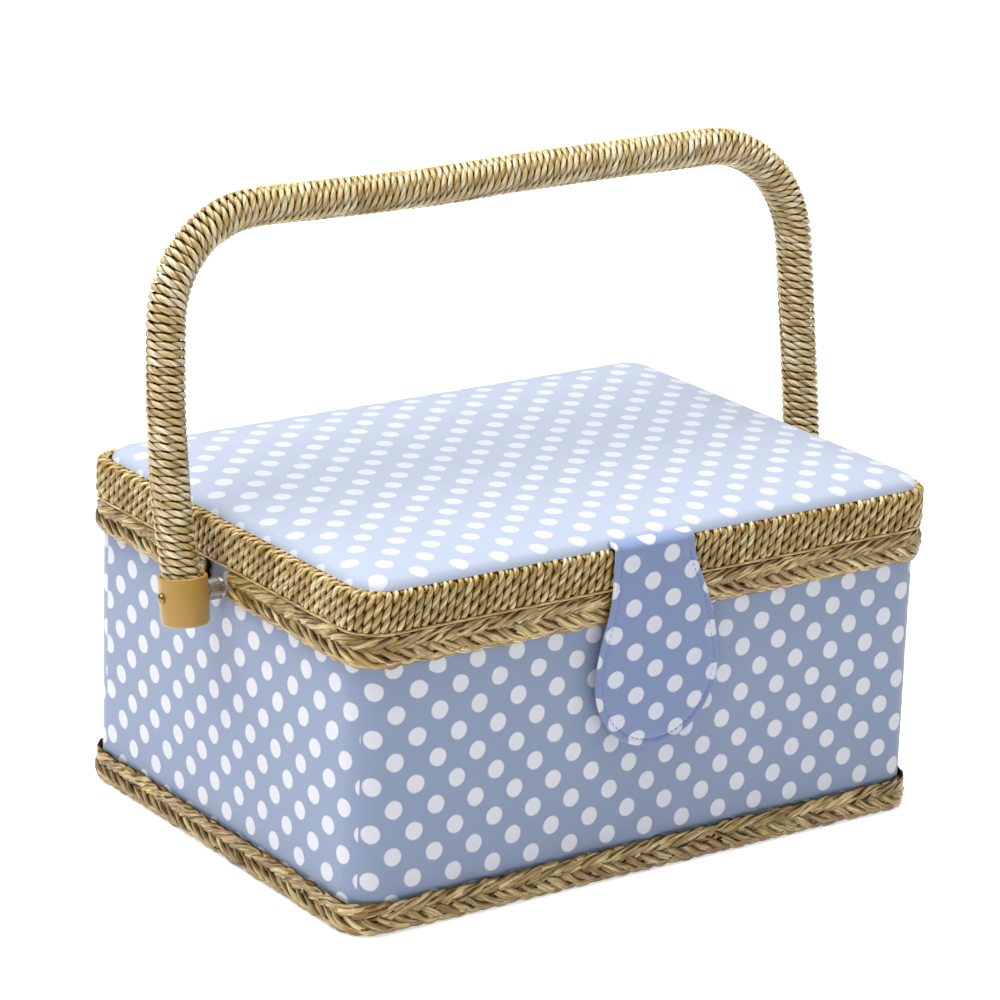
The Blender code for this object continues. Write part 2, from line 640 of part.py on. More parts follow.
def flap_outline(hem):
    """The flap's outline in x and z: a neck that flares into a round bulb."""
    radius = FLAP_BULB_RADIUS - hem
    neck = FLAP_NECK / 2 - hem
    top = FLAP_HINGE_HEIGHT - FLAP_TUCK - hem / 2
    flare_top = FLAP_HINGE_HEIGHT - FLAP_NECK_LENGTH
    half = []
    for step in range(FLAP_STEPS + 1):
        angle = math.radians(-90 + 100 * step / FLAP_STEPS)
        half.append((radius * math.cos(angle), FLAP_BULB_HEIGHT + radius * math.sin(angle)))
    joint_x, joint_z = half[-1]
    for step in range(1, FLAP_STEPS // 2 + 1):
        share = step / (FLAP_STEPS // 2)
        ease = share * share * (3 - 2 * share)
        half.append((joint_x + (neck - joint_x) * ease, joint_z + (flare_top - joint_z) * share))
    half.append((neck, top))
    mirrored = [(-x, z) for x, z in reversed(half[1:])]
    return [(FLAP_CENTRE + x, z) for x, z in half + mirrored]


def make_flap(look):
    """Two cloths with a stiffener and a magnet between them, hung from a tucked strip."""
    strip_low = RIM_TOP + FIT_GAP
    half = FLAP_NECK / 2
    tuck = SEAT_STEP - CUSHION_OVERHANG - FIT_GAP
    low = FLAP_CENTRE - half, -HALF_DEPTH, strip_low
    high = FLAP_CENTRE + half, -HALF_DEPTH + tuck, strip_low + FLAP_CLOTH
    anchor = mesh_object("flap_anchor", block(low, high), look["dotted_cloth"])

    layers = {}
    depth = FLAP_BACK
    for name, hem, thick, kind in (("flap_back_cloth", 0, FLAP_CLOTH, "dotted_cloth"),
                                   ("flap_stiffener", FLAP_HEM, FLAP_STIFFENER, "card"),
                                   ("flap_front_cloth", 0, FLAP_CLOTH, "dotted_cloth")):
        shape = stand_on_front(plate(flap_outline(hem), 0, thick), depth)
        layers[name] = mesh_object(name, shape, look[kind], CREASE)
        depth += thick + FIT_GAP
    middle = FLAP_BACK + FLAP_CLOTH + FIT_GAP
    place = FLAP_CENTRE, 0, FLAP_BULB_HEIGHT
    profile = [(0, 0), (MAGNET_RADIUS, 0), (MAGNET_RADIUS, FLAP_MAGNET), (0, FLAP_MAGNET)]
    disc = stand_on_front(turned(profile), middle + (FLAP_STIFFENER - FLAP_MAGNET) / 2)
    bmesh.ops.translate(disc, verts=disc.verts, vec=place)
    magnet = mesh_object("flap_magnet", disc, look["steel"], CREASE)
    wide = MAGNET_RADIUS + FIT_GAP
    profile = [(0, -CUT_OVERRUN), (wide, -CUT_OVERRUN), (wide, CUT_OVERRUN), (0, CUT_OVERRUN)]
    hole = stand_on_front(turned(profile), middle)
    bmesh.ops.translate(hole, verts=hole.verts, vec=place)
    pocket = cutter("flap_magnet_pocket", hole)
    cut(layers["flap_stiffener"], pocket)
    return anchor, list(layers.values()) + [magnet, pocket]


def arch_length(start):
    """Length of the handle's centre line between heights start above the two pivots."""
    leg = HANDLE_REACH - HANDLE_BEND - start
    return 2 * leg + math.pi * HANDLE_BEND + 2 * (HANDLE_HALF_SPAN - HANDLE_BEND)


def arch_point(along, start):
    """Place and outward normal on the handle's centre line, from the left leg over."""
    leg = HANDLE_REACH - HANDLE_BEND - start
    bend = HANDLE_BEND * math.pi / 2
    bar = 2 * (HANDLE_HALF_SPAN - HANDLE_BEND)
    corner_z = HANDLE_REACH - HANDLE_BEND
    corner_x = HANDLE_HALF_SPAN - HANDLE_BEND
    if along <= leg:
        return Vector((-HANDLE_HALF_SPAN, 0, start + along)), Vector((-1, 0, 0))
    along -= leg
    if along <= bend:
        angle = along / HANDLE_BEND
        out = Vector((-math.cos(angle), 0, math.sin(angle)))
        return Vector((-corner_x, 0, corner_z)) + out * HANDLE_BEND, out
    along -= bend
    if along <= bar:
        return Vector((-corner_x + along, 0, HANDLE_REACH)), Vector((0, 0, 1))
    along -= bar
    if along <= bend:
        angle = along / HANDLE_BEND
        out = Vector((math.sin(angle), 0, math.cos(angle)))
        return Vector((corner_x, 0, corner_z)) + out * HANDLE_BEND, out
    along -= bend
    return Vector((HANDLE_HALF_SPAN, 0, corner_z - along)), Vector((1, 0, 0))


def arch_stops(start):
    """Distances along the handle where a plain tube needs a ring."""
    leg = HANDLE_REACH - HANDLE_BEND - start
    bend = HANDLE_BEND * math.pi / 2
    bar = 2 * (HANDLE_HALF_SPAN - HANDLE_BEND)
    stops = [0]
    stops += [leg + bend * k / BEND_STEPS for k in range(BEND_STEPS + 1)]
    stops += [leg + bend + bar + bend * k / BEND_STEPS for k in range(BEND_STEPS + 1)]
    stops.append(arch_length(start))
    return stops


def arch_ring(along, start, radius):
    place, out = arch_point(along, start)
    ring = []
    for side in range(WRAP_SIDES):
        angle = math.tau * side / WRAP_SIDES
        ring.append(place + radius * (math.cos(angle) * out + math.sin(angle) * Vector((0, 1, 0))))
    return ring


def make_handle_core(look):
    rows = [arch_ring(stop, -CORE_TAIL, CORE_RADIUS) for stop in arch_stops(-CORE_TAIL)]
    return mesh_object("handle_core", loft(rows), look["board"], SOFT_CREASE)


def make_handle_wrap(look):
    """Cord wound round the core in one helix, as a ridge that climbs a pitch each turn."""
    length = arch_length(WRAP_START)
    turns = round(length / WRAP_PITCH)
    pitch = length / turns
    print("handle wrap:", turns, "turns, each touching the next, on a bore of",
          round((CORE_RADIUS + FIT_GAP) / MM, 2), "mm radius")
    shape = bmesh.new()
    rings = []
    for k in range(-2, 2 * turns + 3):
        ring = []
        for side in range(WRAP_SIDES):
            along = pitch * (k / 2 + side / WRAP_SIDES)
            ridge = WRAP_RADIUS - (WRAP_GROOVE if k % 2 else 0)
            if along <= 0 or along >= length:
                along = min(max(along, 0), length)
                ridge = WRAP_RADIUS - WRAP_GROOVE
            place, out = arch_point(along, WRAP_START)
            angle = math.tau * side / WRAP_SIDES
            offset = math.cos(angle) * out + math.sin(angle) * Vector((0, 1, 0))
            ring.append(shape.verts.new(place + ridge * offset))
        rings.append(ring)
    for k in range(len(rings) - 1):
        for side in range(WRAP_SIDES):
            corners = []
            for row, column in ((k, side), (k, side + 1), (k + 1, side + 1), (k + 1, side)):
                if column == WRAP_SIDES:
                    row, column = row + 2, 0
                if row < len(rings):
                    corners.append(rings[row][column])
            if len(corners) == 4:
                shape.faces.new(corners)
    bore = []
    for stop in arch_stops(WRAP_START):
        ring = arch_ring(stop, WRAP_START, CORE_RADIUS + FIT_GAP)
        bore.append([shape.verts.new(place) for place in ring])
    walls = list(zip(bore, bore[1:])) + [(rings[0], bore[0]), (rings[-1], bore[-1])]
    for low, high in walls:
        for side in range(WRAP_SIDES):
            after = (side + 1) % WRAP_SIDES
            shape.faces.new((low[side], low[after], high[after], high[side]))
    bmesh.ops.remove_doubles(shape, verts=shape.verts, dist=MERGE_DISTANCE)
    loose = [vert for vert in shape.verts if not vert.link_faces]
    bmesh.ops.delete(shape, geom=loose, context="VERTS")
    return mesh_object("handle_wrap", shape, look["paper_cord"], SOFT_CREASE)


def make_caps(look):
    """Moulded cups on the handle's ends, bored for the rivets."""
    wide_bore = WRAP_RADIUS + FIT_GAP
    core_bore = CORE_RADIUS + FIT_GAP
    ledge = WRAP_START - FIT_GAP
    floor = -CORE_TAIL - FIT_GAP
    profile = [(0, -CAP_BELOW), (CAP_RADIUS - CAP_ROUND, -CAP_BELOW),
               (CAP_RADIUS - CAP_ROUND / 4, -CAP_BELOW + CAP_ROUND / 2),
               (CAP_RADIUS - CAP_LIP / 2, -CAP_BELOW + CAP_ROUND),
               (CAP_RADIUS, CAP_ABOVE - CAP_LIP), (CAP_RADIUS - CAP_LIP, CAP_ABOVE),
               (wide_bore, CAP_ABOVE), (wide_bore, ledge), (core_bore, ledge),
               (core_bore, floor), (0, floor)]
    caps = []
    for name, side in (("cap_left", -1), ("cap_right", 1)):
        shape = turned(profile)
        bmesh.ops.translate(shape, verts=shape.verts, vec=(side * HANDLE_HALF_SPAN, 0, 0))
        caps.append(mesh_object(name, shape, look["cap_plastic"], CREASE))
    return caps


def make_pin_bores(through):
    """Bores along X for the rivets, as cutters at the handle's pivots."""
    start = CLOTH_X - ROOM_STEP - CUT_OVERRUN
    reach = HANDLE_HALF_SPAN + CAP_RADIUS + CUT_OVERRUN - start
    profile = [(0, 0), (PIN_BORE, 0), (PIN_BORE, reach), (0, reach)]
    for name, side in (("pin_bore_left", -1), ("pin_bore_right", 1)):
        hole = lay_along_x(turned(profile, ROUND_STEPS // 2), (side * start, 0, PIVOT_HEIGHT), side)
        tool = cutter(name, hole)
        for piece in through[name]:
            cut(piece, tool)


def make_rivets(look):
    """Each rivet with its inner washer and the clear spacer that keeps the cap off the cloth."""
    face = CLOTH_X - LINING_STEP - LINING
    washer_low = face - FIT_GAP - WASHER
    head_low = washer_low - FIT_GAP - INNER_HEAD
    cap_face = HANDLE_HALF_SPAN + CAP_RADIUS
    shank_end = cap_face + FIT_GAP - head_low
    dome_share = 0.6
    rivet = [(0, 0), (INNER_HEAD_RADIUS, 0), (INNER_HEAD_RADIUS, INNER_HEAD), (RIVET_RADIUS, INNER_HEAD),
             (RIVET_RADIUS, shank_end), (RIVET_HEAD_RADIUS, shank_end),
             (RIVET_HEAD_RADIUS * dome_share, shank_end + RIVET_HEAD * (1 + dome_share) / 2),
             (0, shank_end + RIVET_HEAD)]
    washer = [(PIN_BORE, 0), (WASHER_RADIUS, 0), (WASHER_RADIUS, WASHER), (PIN_BORE, WASHER)]
    spacer_low = CLOTH_X + FIT_GAP
    spacer = [(PIN_BORE, 0), (SPACER_RADIUS, 0), (SPACER_RADIUS, SPACER_LENGTH), (PIN_BORE, SPACER_LENGTH)]
    made = []
    for end, side in (("left", -1), ("right", 1)):
        for name, profile, start, kind in (("rivet_", rivet, head_low, "brass"),
                                           ("washer_", washer, washer_low, "steel"),
                                           ("spacer_", spacer, spacer_low, "clear_plastic")):
            shape = lay_along_x(turned(profile), (side * start, 0, PIVOT_HEIGHT), side)
            made.append(mesh_object(name + end, shape, look[kind], CREASE))
    return made


def build():
    clear_scene()
    look = make_finishes()
    make_base(look)
    walls = make_walls(look)
    cloth, lining = make_cloth_and_lining(look)
    make_ledges(look)
    make_tray(look)
    braid_back = make_braids(look)
    make_catch(look, walls["front_wall"])

    frame, boards, under = make_lid_boards(look)
    wrap = make_rim_wrap(look)
    lid_pieces = [frame, wrap] + boards + make_cushion(look) + make_lid_fittings(look, under)
    make_hinges(look, [frame, wrap, braid_back])
    anchor, flap_pieces = make_flap(look)

    core = make_handle_core(look)
    handle_wrap = make_handle_wrap(look)
    caps = make_caps(look)
    rivets = make_rivets(look)
    make_pin_bores({"pin_bore_left": [walls["left_wall"], cloth, lining, core, caps[0]],
                    "pin_bore_right": [walls["right_wall"], cloth, lining, core, caps[1]]})

    lid_axis = 0, HALF_DEPTH, HINGE_HEIGHT
    flap_axis = 0, -HALF_DEPTH - FIT_GAP / 2, FLAP_HINGE_HEIGHT
    handle_axis = 0, 0, PIVOT_HEIGHT
    carry(axis_empty("lid_hinge_axis", lid_axis), lid_pieces + [anchor], lid_axis)
    carry(axis_empty("flap_hinge_axis", flap_axis), flap_pieces, flap_axis)
    carry(axis_empty("rivet_axis", handle_axis), rivets, handle_axis)
    carry(axis_empty("handle_axis", handle_axis, HANDLE_TILT), [core, handle_wrap] + caps)


build()
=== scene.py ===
import math

import bmesh
import bpy
import numpy as np
from mathutils import Matrix, Vector, noise


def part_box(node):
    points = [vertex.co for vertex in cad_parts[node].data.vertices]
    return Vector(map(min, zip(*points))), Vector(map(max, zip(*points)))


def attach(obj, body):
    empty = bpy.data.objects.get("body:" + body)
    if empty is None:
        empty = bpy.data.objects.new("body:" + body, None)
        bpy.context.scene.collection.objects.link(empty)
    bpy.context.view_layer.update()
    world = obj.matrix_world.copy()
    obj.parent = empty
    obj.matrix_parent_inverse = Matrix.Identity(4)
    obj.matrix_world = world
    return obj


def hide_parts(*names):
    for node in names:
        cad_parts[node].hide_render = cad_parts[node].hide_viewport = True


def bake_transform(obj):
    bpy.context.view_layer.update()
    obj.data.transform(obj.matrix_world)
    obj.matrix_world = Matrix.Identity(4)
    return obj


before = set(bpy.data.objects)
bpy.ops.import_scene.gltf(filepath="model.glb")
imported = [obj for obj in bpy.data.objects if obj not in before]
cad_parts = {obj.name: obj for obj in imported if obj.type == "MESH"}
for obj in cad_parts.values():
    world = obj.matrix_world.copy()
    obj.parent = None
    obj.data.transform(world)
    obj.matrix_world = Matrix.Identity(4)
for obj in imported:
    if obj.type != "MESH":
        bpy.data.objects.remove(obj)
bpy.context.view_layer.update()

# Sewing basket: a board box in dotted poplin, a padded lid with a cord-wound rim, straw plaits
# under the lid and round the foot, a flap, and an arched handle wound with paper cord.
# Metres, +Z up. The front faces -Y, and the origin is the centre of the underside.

mm = 0.001
fullTurn = 2 * math.pi


# small tools

def linear(hexColour):
    # sRGB hex to the linear numbers that a shader takes
    parts = [int(hexColour[k:k + 2], 16) / 255 for k in (1, 3, 5)]
    return (*[c / 12.92 if c <= 0.04045 else ((c + 0.055) / 1.055) ** 2.4 for c in parts], 1.0)


def feed(tree, node, sockets):
    # a socket takes a value, or the node or the output that feeds it
    for socket, source in sockets.items():
        if isinstance(source, bpy.types.Node):
            source = source.outputs[0]
        if isinstance(source, bpy.types.NodeSocket):
            tree.links.new(source, node.inputs[socket])
        else:
            node.inputs[socket].default_value = source


def add(tree, kind, sockets=None, **settings):
    # adds a shader node with its settings and what its sockets take
    node = tree.nodes.new("ShaderNode" + kind)
    for setting, value in settings.items():
        setattr(node, setting, value)
    feed(tree, node, sockets or {})
    return node


def mixColours(tree, factor, first, second):
    mixed = add(tree, "Mix", {"Factor": factor, "A": first, "B": second}, data_type="RGBA")
    return mixed.outputs["Result"]


def startMaterial(name):
    material = bpy.data.materials.new(name)
    material.use_nodes = True
    return material, material.node_tree, material.node_tree.nodes["Principled BSDF"]


def deselectAll():
    if bpy.context.object and bpy.context.object.mode != "OBJECT":
        bpy.ops.object.mode_set(mode="OBJECT")
    bpy.ops.object.select_all(action="DESELECT")


def choose(piece):
    deselectAll()
    piece.select_set(True)
    bpy.context.view_layer.objects.active = piece


def finishPiece(piece, body, slotName, material, *nodes):
    # gives a piece its finish and its body, and hides the CAD nodes that it stands for
    piece.data.materials.clear()
    piece.data.materials.append(material)
    if body:
        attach(piece, body)
    if nodes:
        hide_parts(*nodes)


def meshPiece(name, points, faces, uv=None, attributes=None):
    # a mesh piece from points and faces; uv has one pair for each corner of each face
    mesh = bpy.data.meshes.new(name)
    mesh.from_pydata([tuple(p) for p in points], [], [tuple(f) for f in faces])
    mesh.update()
    if uv is not None:
        mesh.uv_layers.new(name="UVMap").data.foreach_set("uv", np.asarray(uv, np.float32).ravel())
    for label, values in (attributes or {}).items():
        mesh.attributes.new(label, "FLOAT", "POINT").data.foreach_set(
            "value", np.asarray(values, np.float32).ravel())
    shape = bmesh.new()
    shape.from_mesh(mesh)
    bmesh.ops.recalc_face_normals(shape, faces=shape.faces)
    shape.to_mesh(mesh)
    shape.free()
    mesh.shade_smooth()
    piece = bpy.data.objects.new(name, mesh)
    bpy.context.scene.collection.objects.link(piece)
    return piece


def tubes(name, rings, along, paintedShade=None, loop=False):
    # skins tubes: rings is (tube, ring, side, xyz), along the distance of each ring
    rings = np.asarray(rings, float)
    count, steps, sides = rings.shape[:3]
    index = np.arange(count * steps * sides).reshape(count, steps, sides)
    low, high = (index, np.roll(index, -1, 1)) if loop else (index[:, :-1], index[:, 1:])
    quads = np.stack([low, np.roll(low, -1, 2), np.roll(high, -1, 2), high], -1).reshape(-1, 4)
    u = np.broadcast_to(np.asarray(along, float)[..., None], (count, steps, sides))
    v = np.broadcast_to(np.arange(sides) / sides, (count, steps, sides))
    first = np.stack([u, v], -1)
    after = np.stack([u, v + 1 / sides], -1)
    if loop:
        ahead = [np.concatenate([part[:, 1:], part[:, -1:]], 1) for part in (after, first)]
        corners = np.stack([first, after, *ahead], 3)
    else:
        corners = np.stack([first[:, :-1], after[:, :-1], after[:, 1:], first[:, 1:]], 3)
    faces = quads.tolist()
    uv = corners.reshape(-1, 2)
    if not loop:
        ends = index[:, 0].tolist() + index[:, -1].tolist()
        faces += ends
        uv = np.concatenate([uv, np.zeros((2 * count * sides, 2))])
    # the painted shade goes onto the mesh as a point attribute
    extra = None if paintedShade is None else {"paintedShade": paintedShade}
    return meshPiece(name, rings.reshape(-1, 3), faces, uv, extra)


def unit(vectors):
    return vectors / np.maximum(np.linalg.norm(vectors, axis=-1, keepdims=True), 1e-12)


def runLength(path):
    # how far along a path each of its points lies
    return np.concatenate([[0], np.cumsum(np.linalg.norm(np.diff(path, axis=0), axis=1))])


def squareTo(ahead, outward):
    # the outward direction, square to the way ahead, and the sideways one
    ahead = unit(ahead)
    out = unit(outward - np.sum(outward * ahead, 1, keepdims=True) * ahead)
    return out, np.cross(ahead, out)


def ringsAbout(path, across, side, up, out):
    # rings of points round a path, from distances across and up at each of their sides
    return path[:, None] + across[..., None] * side[:, None] + up[..., None] * out[:, None]


def waver(x, y, z):
    return noise.noise(Vector((x, y, z)))


def ease(share):
    share = min(1, max(0, share))
    return share * share * (3 - 2 * share)


def easeFrom(start, width, value):
    # 0 below start, 1 beyond start + width
    return ease((value - start) / width)


def roundedEdge(depth, width):
    # how full a pad is at a depth from its edge, from 0 to 1, round over width
    return math.sqrt(max(0.0, 1 - (1 - min(1, depth / width)) ** 2))


def grown(shape, by):
    # a rounded rectangle that is larger by a distance all round
    return {size: shape[size] + by for size in ("halfX", "halfY", "corner")}


def outlineLength(shape):
    return 4 * (shape["halfX"] + shape["halfY"] - 2 * shape["corner"]) + fullTurn * shape["corner"]


def outlinePoint(along, shape):
    # a place on a rounded rectangle and its outward normal, anticlockwise from the front left
    radius = shape["corner"]
    insideX, insideY = shape["halfX"] - radius, shape["halfY"] - radius
    arc = radius * math.pi / 2
    along = along % outlineLength(shape)
    for turn, (signX, signY) in enumerate(((1, -1), (1, 1), (-1, 1), (-1, -1))):
        run = 2 * (insideY if turn % 2 else insideX)
        angle = turn * math.pi / 2
        ahead = np.array([math.cos(angle), math.sin(angle)])
        out = np.array([math.sin(angle), -math.cos(angle)])
        pivot = np.array([signX * insideX, signY * insideY])
        if along <= run:
            return pivot + out * radius - ahead * (run - along), out
        along -= run
        if along <= arc:
            heading = out * math.cos(along / radius) + ahead * math.sin(along / radius)
            return pivot + heading * radius, heading
        along -= arc
    return pivot + ahead * radius, ahead


def turnedPiece(name, profile, sides=64):
    # a disc drawn out along +Z loop by loop, as on a lathe; profile is (radius, height)
    deselectAll()
    radius, height = profile[0]
    bpy.ops.mesh.primitive_circle_add(vertices=sides, radius=radius, fill_type="NGON",
                                      location=(0, 0, height))
    piece = bpy.context.object
    piece.name = piece.data.name = name
    bpy.ops.object.mode_set(mode="EDIT")
    bpy.ops.mesh.select_all(action="SELECT")
    for nextRadius, nextHeight in profile[1:]:
        bpy.ops.mesh.extrude_region_move(
            TRANSFORM_OT_translate={"value": (0, 0, nextHeight - height)})
        ratio = nextRadius / radius
        bpy.ops.transform.resize(value=(ratio, ratio, 1), center_override=(0, 0, nextHeight))
        radius, height = nextRadius, nextHeight
    bpy.ops.mesh.select_all(action="SELECT")
    bpy.ops.mesh.normals_make_consistent(inside=False)
    bpy.ops.object.mode_set(mode="OBJECT")
    return piece


def settle(piece, place, axis):
    # moves a turned piece and lays its +Z along an axis, and applies its place to its mesh
    choose(piece)
    piece.location = Vector(place) + piece.location
    bpy.ops.object.transform_apply(location=True, rotation=True, scale=True)
    rotation = Vector(axis).to_track_quat("Z", "Y").to_matrix().to_4x4()
    piece.data.transform(Matrix.Translation(place) @ rotation @ Matrix.Translation(-Vector(place)))


def applyModifier(piece, kind, **settings):
    choose(piece)
    bpy.ops.object.modifier_add(type=kind)
    modifier = piece.modifiers[-1]
    for setting, value in settings.items():
        setattr(modifier, setting, value)
    bpy.ops.object.modifier_apply(modifier=modifier.name)


def smoothEdges(piece, width, segments=3):
    # rounds a hard piece's edges and shades it smooth
    crease = math.radians(30)
    applyModifier(piece, "BEVEL", width=width, segments=segments, limit_method="ANGLE",
                  angle_limit=crease)
    bpy.ops.object.shade_smooth_by_angle(angle=crease)


def subdivide(piece):
    applyModifier(piece, "SUBSURF", levels=1, render_levels=1)


# finishes

poplin = {"periodX": 20.34 * mm, "periodY": 21.28 * mm, "dotEdge": 0.4 * mm}


def dottedPoplin(name, blue, blueDeep, dot, dotRadius):
    # Cotton poplin, plain weave, printed: a soft matt cloth. The eye sees even round dots,
    # about 8 mm across and 15 mm apart, with a faint slub in the yarn. The real threads are
    # 0.25 mm apart, too fine to show, so the slub is drawn 1 mm wide. UVs are metres of cloth.
    material, tree, shader = startMaterial(name)
    place = add(tree, "TexCoord").outputs["UV"]
    wobble = add(tree, "TexNoise", {"Vector": place, "Scale": 260.0, "Detail": 2.0}).outputs["Color"]
    shift = add(tree, "VectorMath", {0: wobble, 1: (0.5, 0.5, 0.5)}, operation="SUBTRACT")
    shift = add(tree, "VectorMath", {0: shift, "Scale": 0.5 * mm}, operation="SCALE")
    place = add(tree, "VectorMath", {0: place, 1: shift}, operation="ADD")
    periodX, periodY, edge = poplin["periodX"], poplin["periodY"], poplin["dotEdge"]
    cells = add(tree, "VectorMath", {0: place, 1: (periodX, periodY, 1.0)}, operation="DIVIDE")
    # a dot lies at the middle of each cell and at its corners
    nearest = []
    for start in (0.5, 0.0):
        moved = add(tree, "VectorMath", {0: cells, 1: (start, start, 0)}, operation="ADD")
        inside = add(tree, "VectorMath", {0: moved}, operation="FRACTION")
        centred = add(tree, "VectorMath", {0: inside, 1: (0.5, 0.5, 0)}, operation="SUBTRACT")
        real = add(tree, "VectorMath", {0: centred, 1: (periodX, periodY, 0)}, operation="MULTIPLY")
        nearest.append(add(tree, "VectorMath", {0: real}, operation="LENGTH").outputs["Value"])
    distance = add(tree, "Math", {0: nearest[0], 1: nearest[1]}, operation="MINIMUM")
    dots = add(tree, "MapRange", {"Value": distance, "From Min": dotRadius + edge,
                                  "From Max": dotRadius - edge}, interpolation_type="SMOOTHSTEP")
    patches = add(tree, "TexNoise", {"Vector": place, "Scale": 30.0, "Detail": 3.0})
    ground = mixColours(tree, patches, linear(blueDeep), linear(blue))
    slubs = []
    for stretch in ((1.0, 0.07, 1.0), (0.07, 1.0, 1.0)):
        drawn = add(tree, "VectorMath", {0: place, 1: stretch}, operation="MULTIPLY")
        slubs.append(add(tree, "TexNoise", {"Vector": drawn, "Scale": 900.0, "Detail": 2.0}))
    yarn = add(tree, "Math", {0: slubs[0], 1: slubs[1]}, operation="ADD")
    relief = add(tree, "Bump", {"Height": yarn, "Strength": 0.25, "Distance": 0.12 * mm})
    feed(tree, shader, {"Base Color": mixColours(tree, dots, ground, linear(dot)), "Normal": relief,
                        "Roughness": 0.75, "Sheen Weight": 0.5, "Sheen Roughness": 0.4,
                        "Specular IOR Level": 0.35})
    return material


def plantFibre(name, tones, paintedShadeTone, fibres, gloss, patchScale=45.0):
    # Straw or paper twisted or plaited by hand, half matt. UVs: metres along the strand, then
    # a share of the way round it, so that the fibres run with the strand. Shade is painted in:
    # a point attribute, 1 in the grooves and under neighbouring strands, darkens colour and reflection.
    material, tree, shader = startMaterial(name)
    place = add(tree, "TexCoord").outputs["UV"]
    drawn = add(tree, "VectorMath", {0: place, 1: (*fibres, 1.0)}, operation="MULTIPLY")
    streaks = add(tree, "TexNoise", {"Vector": drawn, "Scale": 1.0, "Detail": 4.0, "Roughness": 0.65})
    broad = add(tree, "VectorMath", {0: place, 1: (patchScale, 0.8, 1.0)}, operation="MULTIPLY")
    patches = add(tree, "TexNoise", {"Vector": broad, "Scale": 1.0, "Detail": 2.0})
    both = add(tree, "Math", {0: patches, 1: 0.45, 2: streaks}, operation="MULTIPLY_ADD")
    ramp = add(tree, "ValToRGB", {"Fac": both})
    stops = ramp.color_ramp.elements
    for k, (where, tone) in enumerate(tones):
        stop = stops[k] if k < 2 else stops.new(where)
        stop.position = where
        stop.color = linear(tone)
    # painted shade: the attribute mixes the colour towards a dark shade tone
    paintedShade = add(tree, "Attribute", attribute_name="paintedShade").outputs["Fac"]
    relief = add(tree, "Bump", {"Height": streaks, "Strength": 0.55, "Distance": 0.25 * mm})
    # painted shade also takes reflection away where the attribute is high
    shadedSpecular = add(tree, "Math", {0: paintedShade, 1: -0.65, 2: 0.7}, operation="MULTIPLY_ADD")
    feed(tree, shader, {"Base Color": mixColours(tree, paintedShade, ramp, linear(paintedShadeTone)),
                        "Normal": relief, "Roughness": gloss, "Specular IOR Level": shadedSpecular})
    return material


def speckled(name, base, other, scale, values, bump=0.0, stretch=(1.0, 1.0, 1.0)):
    # a plain material with a fine mottle: base and other are its two tones, scale per metre
    material, tree, shader = startMaterial(name)
    place = add(tree, "TexCoord").outputs["Object"]
    place = add(tree, "VectorMath", {0: place, 1: stretch}, operation="MULTIPLY")
    mottle = add(tree, "TexNoise", {"Vector": place, "Scale": scale, "Detail": 4.0})
    feed(tree, shader, {"Base Color": mixColours(tree, mottle, linear(base), linear(other)), **values})
    if bump:
        relief = add(tree, "Bump", {"Height": mottle, "Strength": 0.4, "Distance": bump})
        feed(tree, shader, {"Normal": relief})
    return material


